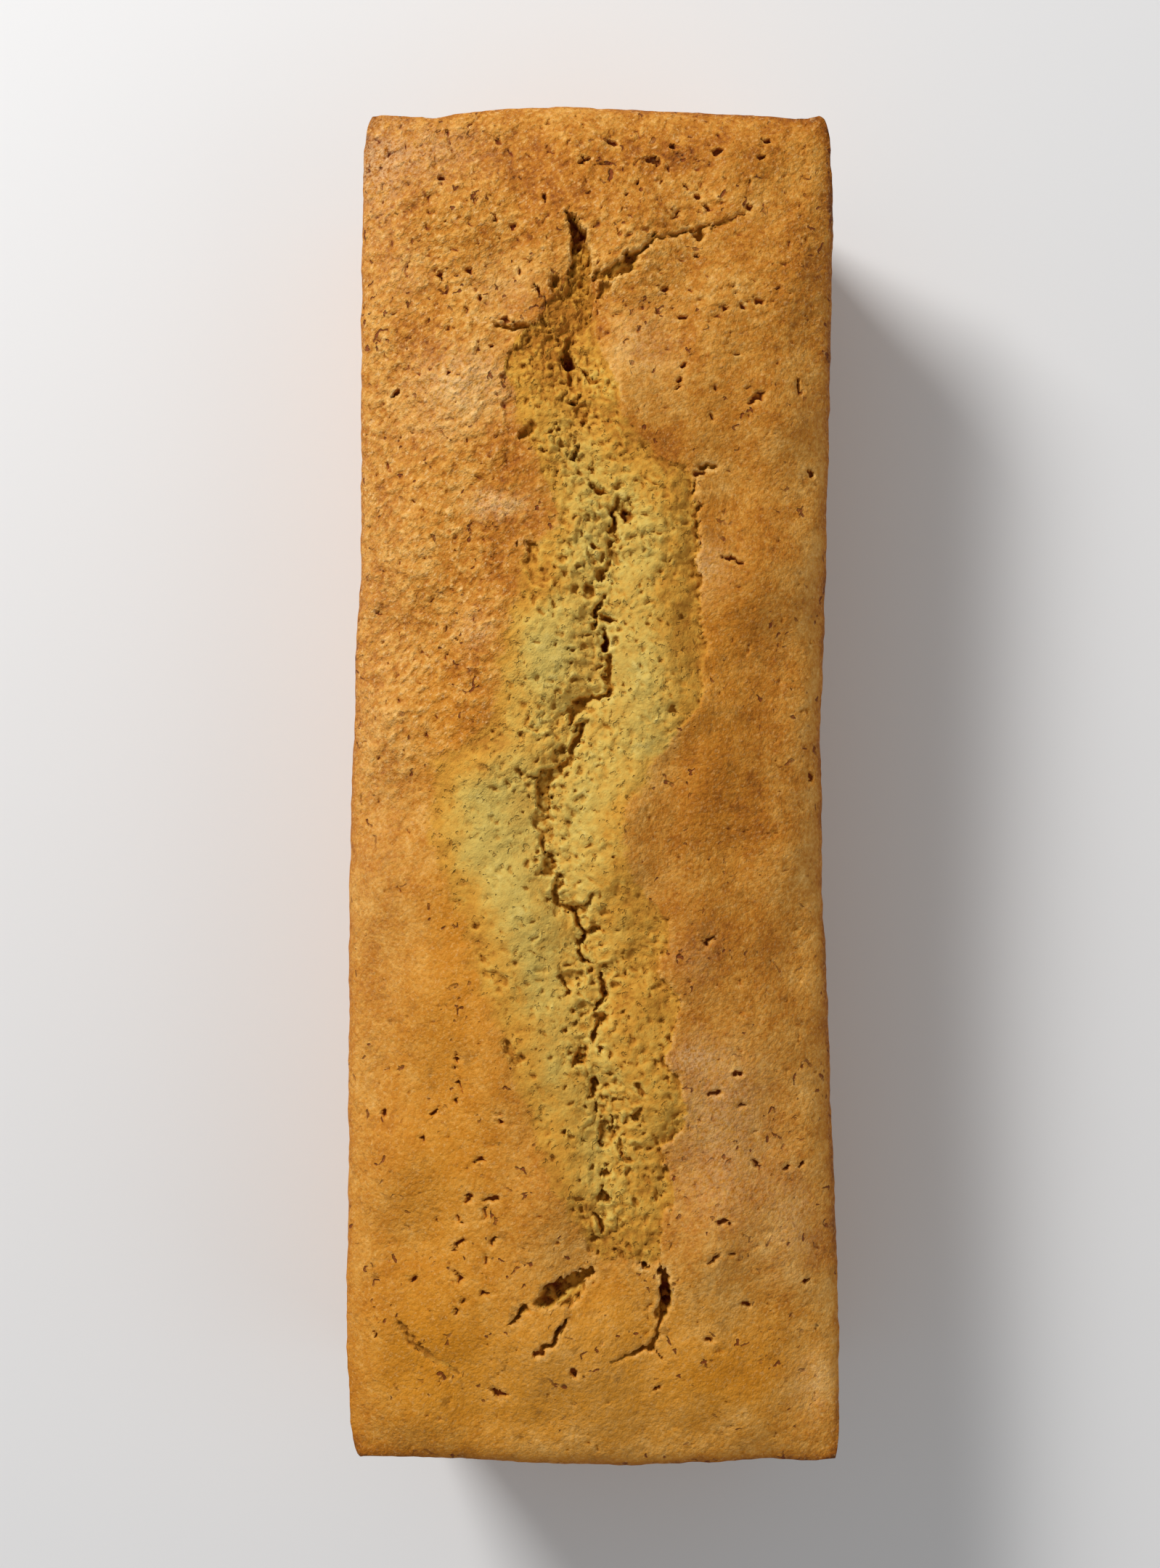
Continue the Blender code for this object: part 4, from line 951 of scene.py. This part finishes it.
# Painted shade: the deeper a point lies in an opening, the darker it is painted
colour = tinted(colour, SHALLOW_TEAR_SHADE, spread(field("depth"), 0.20, 0.40), 0.7)
colour = tinted(colour, DEEP_TEAR_SHADE, spread(field("depth"), 0.44, 0.80))
colour = mixed(colour, side, tin_side)
tree.links.new(colour, shader.inputs["Base Color"])

gloss = node("ShaderNodeMapRange")
gloss.inputs["To Min"].default_value = 0.62
gloss.inputs["To Max"].default_value = 0.9
tree.links.new(reckon("MULTIPLY_ADD", crumb_share, 0.5, noise(1.6)), gloss.inputs["Value"])
tree.links.new(gloss.outputs["Result"], shader.inputs["Roughness"])
shader.inputs["Specular IOR Level"].default_value = 0.2

grain = reckon("MULTIPLY", flake, reckon("MULTIPLY_ADD", coarse_skin, 1.1, -0.18))
grain = reckon("MULTIPLY_ADD", grit, reckon("MULTIPLY_ADD", crumb_share, -0.1, 0.42), grain)
grain = reckon("SUBTRACT", grain, reckon("MULTIPLY", reckon("MULTIPLY", pore, crumb_share), 0.35))
grain = reckon("SUBTRACT", grain, reckon("MULTIPLY", reckon("MAXIMUM", slit, bubble), 0.4))
pimples = node("ShaderNodeBump")
pimples.inputs["Distance"].default_value = 1.0 * MM
pimples.inputs["Strength"].default_value = 1.0
tree.links.new(grain, pimples.inputs["Height"])
tree.links.new(pimples.outputs["Normal"], shader.inputs["Normal"])
cake_mesh.materials.clear()
cake_mesh.materials.append(baked)

# Floor, light and camera
# A plain pale floor under the cake, one broad soft light from the upper left with a weak one
# opposite, and a camera straight above, as the photograph was taken.
FLOOR_HALF = 4.0
FLOOR_COLOUR = (226, 225, 224)
# A lamp's place in metres, its power in watts and its side in metres
WINDOW = ((-0.83, 0.98, 1.02), 25.0, 0.5)
OPPOSITE = ((1.3, -0.5, 1.2), 3.0, 1.2)
SKY_COLOUR = (0.95, 0.97, 1.0, 1.0)
SKY_STRENGTH = 0.36
CAMERA_HEIGHT = 600.0
CAMERA_ACROSS = -2.7
CAMERA_ALONG = 0.43
PIXELS_PER_MM_AT_RIM = 6.45
FRAME_HEIGHT_PIXELS = 2160
SENSOR = 36.0

floor_mesh = bpy.data.meshes.new("floor")
turns = ((-1, -1), (1, -1), (1, 1), (-1, 1))
floor_corners = [(right * FLOOR_HALF, up * FLOOR_HALF, 0) for right, up in turns]
floor_mesh.from_pydata(floor_corners, [], [(0, 1, 2, 3)])
floor = bpy.data.objects.new("floor", floor_mesh)
bpy.context.scene.collection.objects.link(floor)
floor_paint = bpy.data.materials.new("pale_floor")
floor_paint.use_nodes = True
floor_shader = floor_paint.node_tree.nodes["Principled BSDF"]
floor_shader.inputs["Base Color"].default_value = paint(*FLOOR_COLOUR)
floor_shader.inputs["Roughness"].default_value = 0.6
floor_mesh.materials.append(floor_paint)


def lamp(name, place, power, size):
    """A soft square light that faces the middle of the cake."""
    light = bpy.data.lights.new(name, "AREA")
    light.energy = power
    light.size = size
    holder = bpy.data.objects.new(name, light)
    bpy.context.scene.collection.objects.link(holder)
    holder.location = place
    toward = holder.location.copy()
    toward.negate()
    holder.rotation_euler = toward.to_track_quat("-Z", "Y").to_euler()


lamp("window", *WINDOW)
lamp("opposite", *OPPOSITE)
sky = bpy.data.worlds.new("room")
sky.use_nodes = True
backdrop = sky.node_tree.nodes["Background"]
backdrop.inputs["Color"].default_value = SKY_COLOUR
backdrop.inputs["Strength"].default_value = SKY_STRENGTH
bpy.context.scene.world = sky
bpy.context.scene.view_settings.view_transform = "Standard"

camera_data = bpy.data.cameras.new("camera")
camera_data.sensor_fit = "VERTICAL"
camera_data.sensor_height = SENSOR
focal_pixels = PIXELS_PER_MM_AT_RIM * (CAMERA_HEIGHT - RIM_HEIGHT)
camera_data.lens = SENSOR * focal_pixels / FRAME_HEIGHT_PIXELS
camera = bpy.data.objects.new("camera", camera_data)
camera.location = (CAMERA_ACROSS * MM, CAMERA_ALONG * MM, CAMERA_HEIGHT * MM)
bpy.context.scene.collection.objects.link(camera)
bpy.context.scene.camera = camera
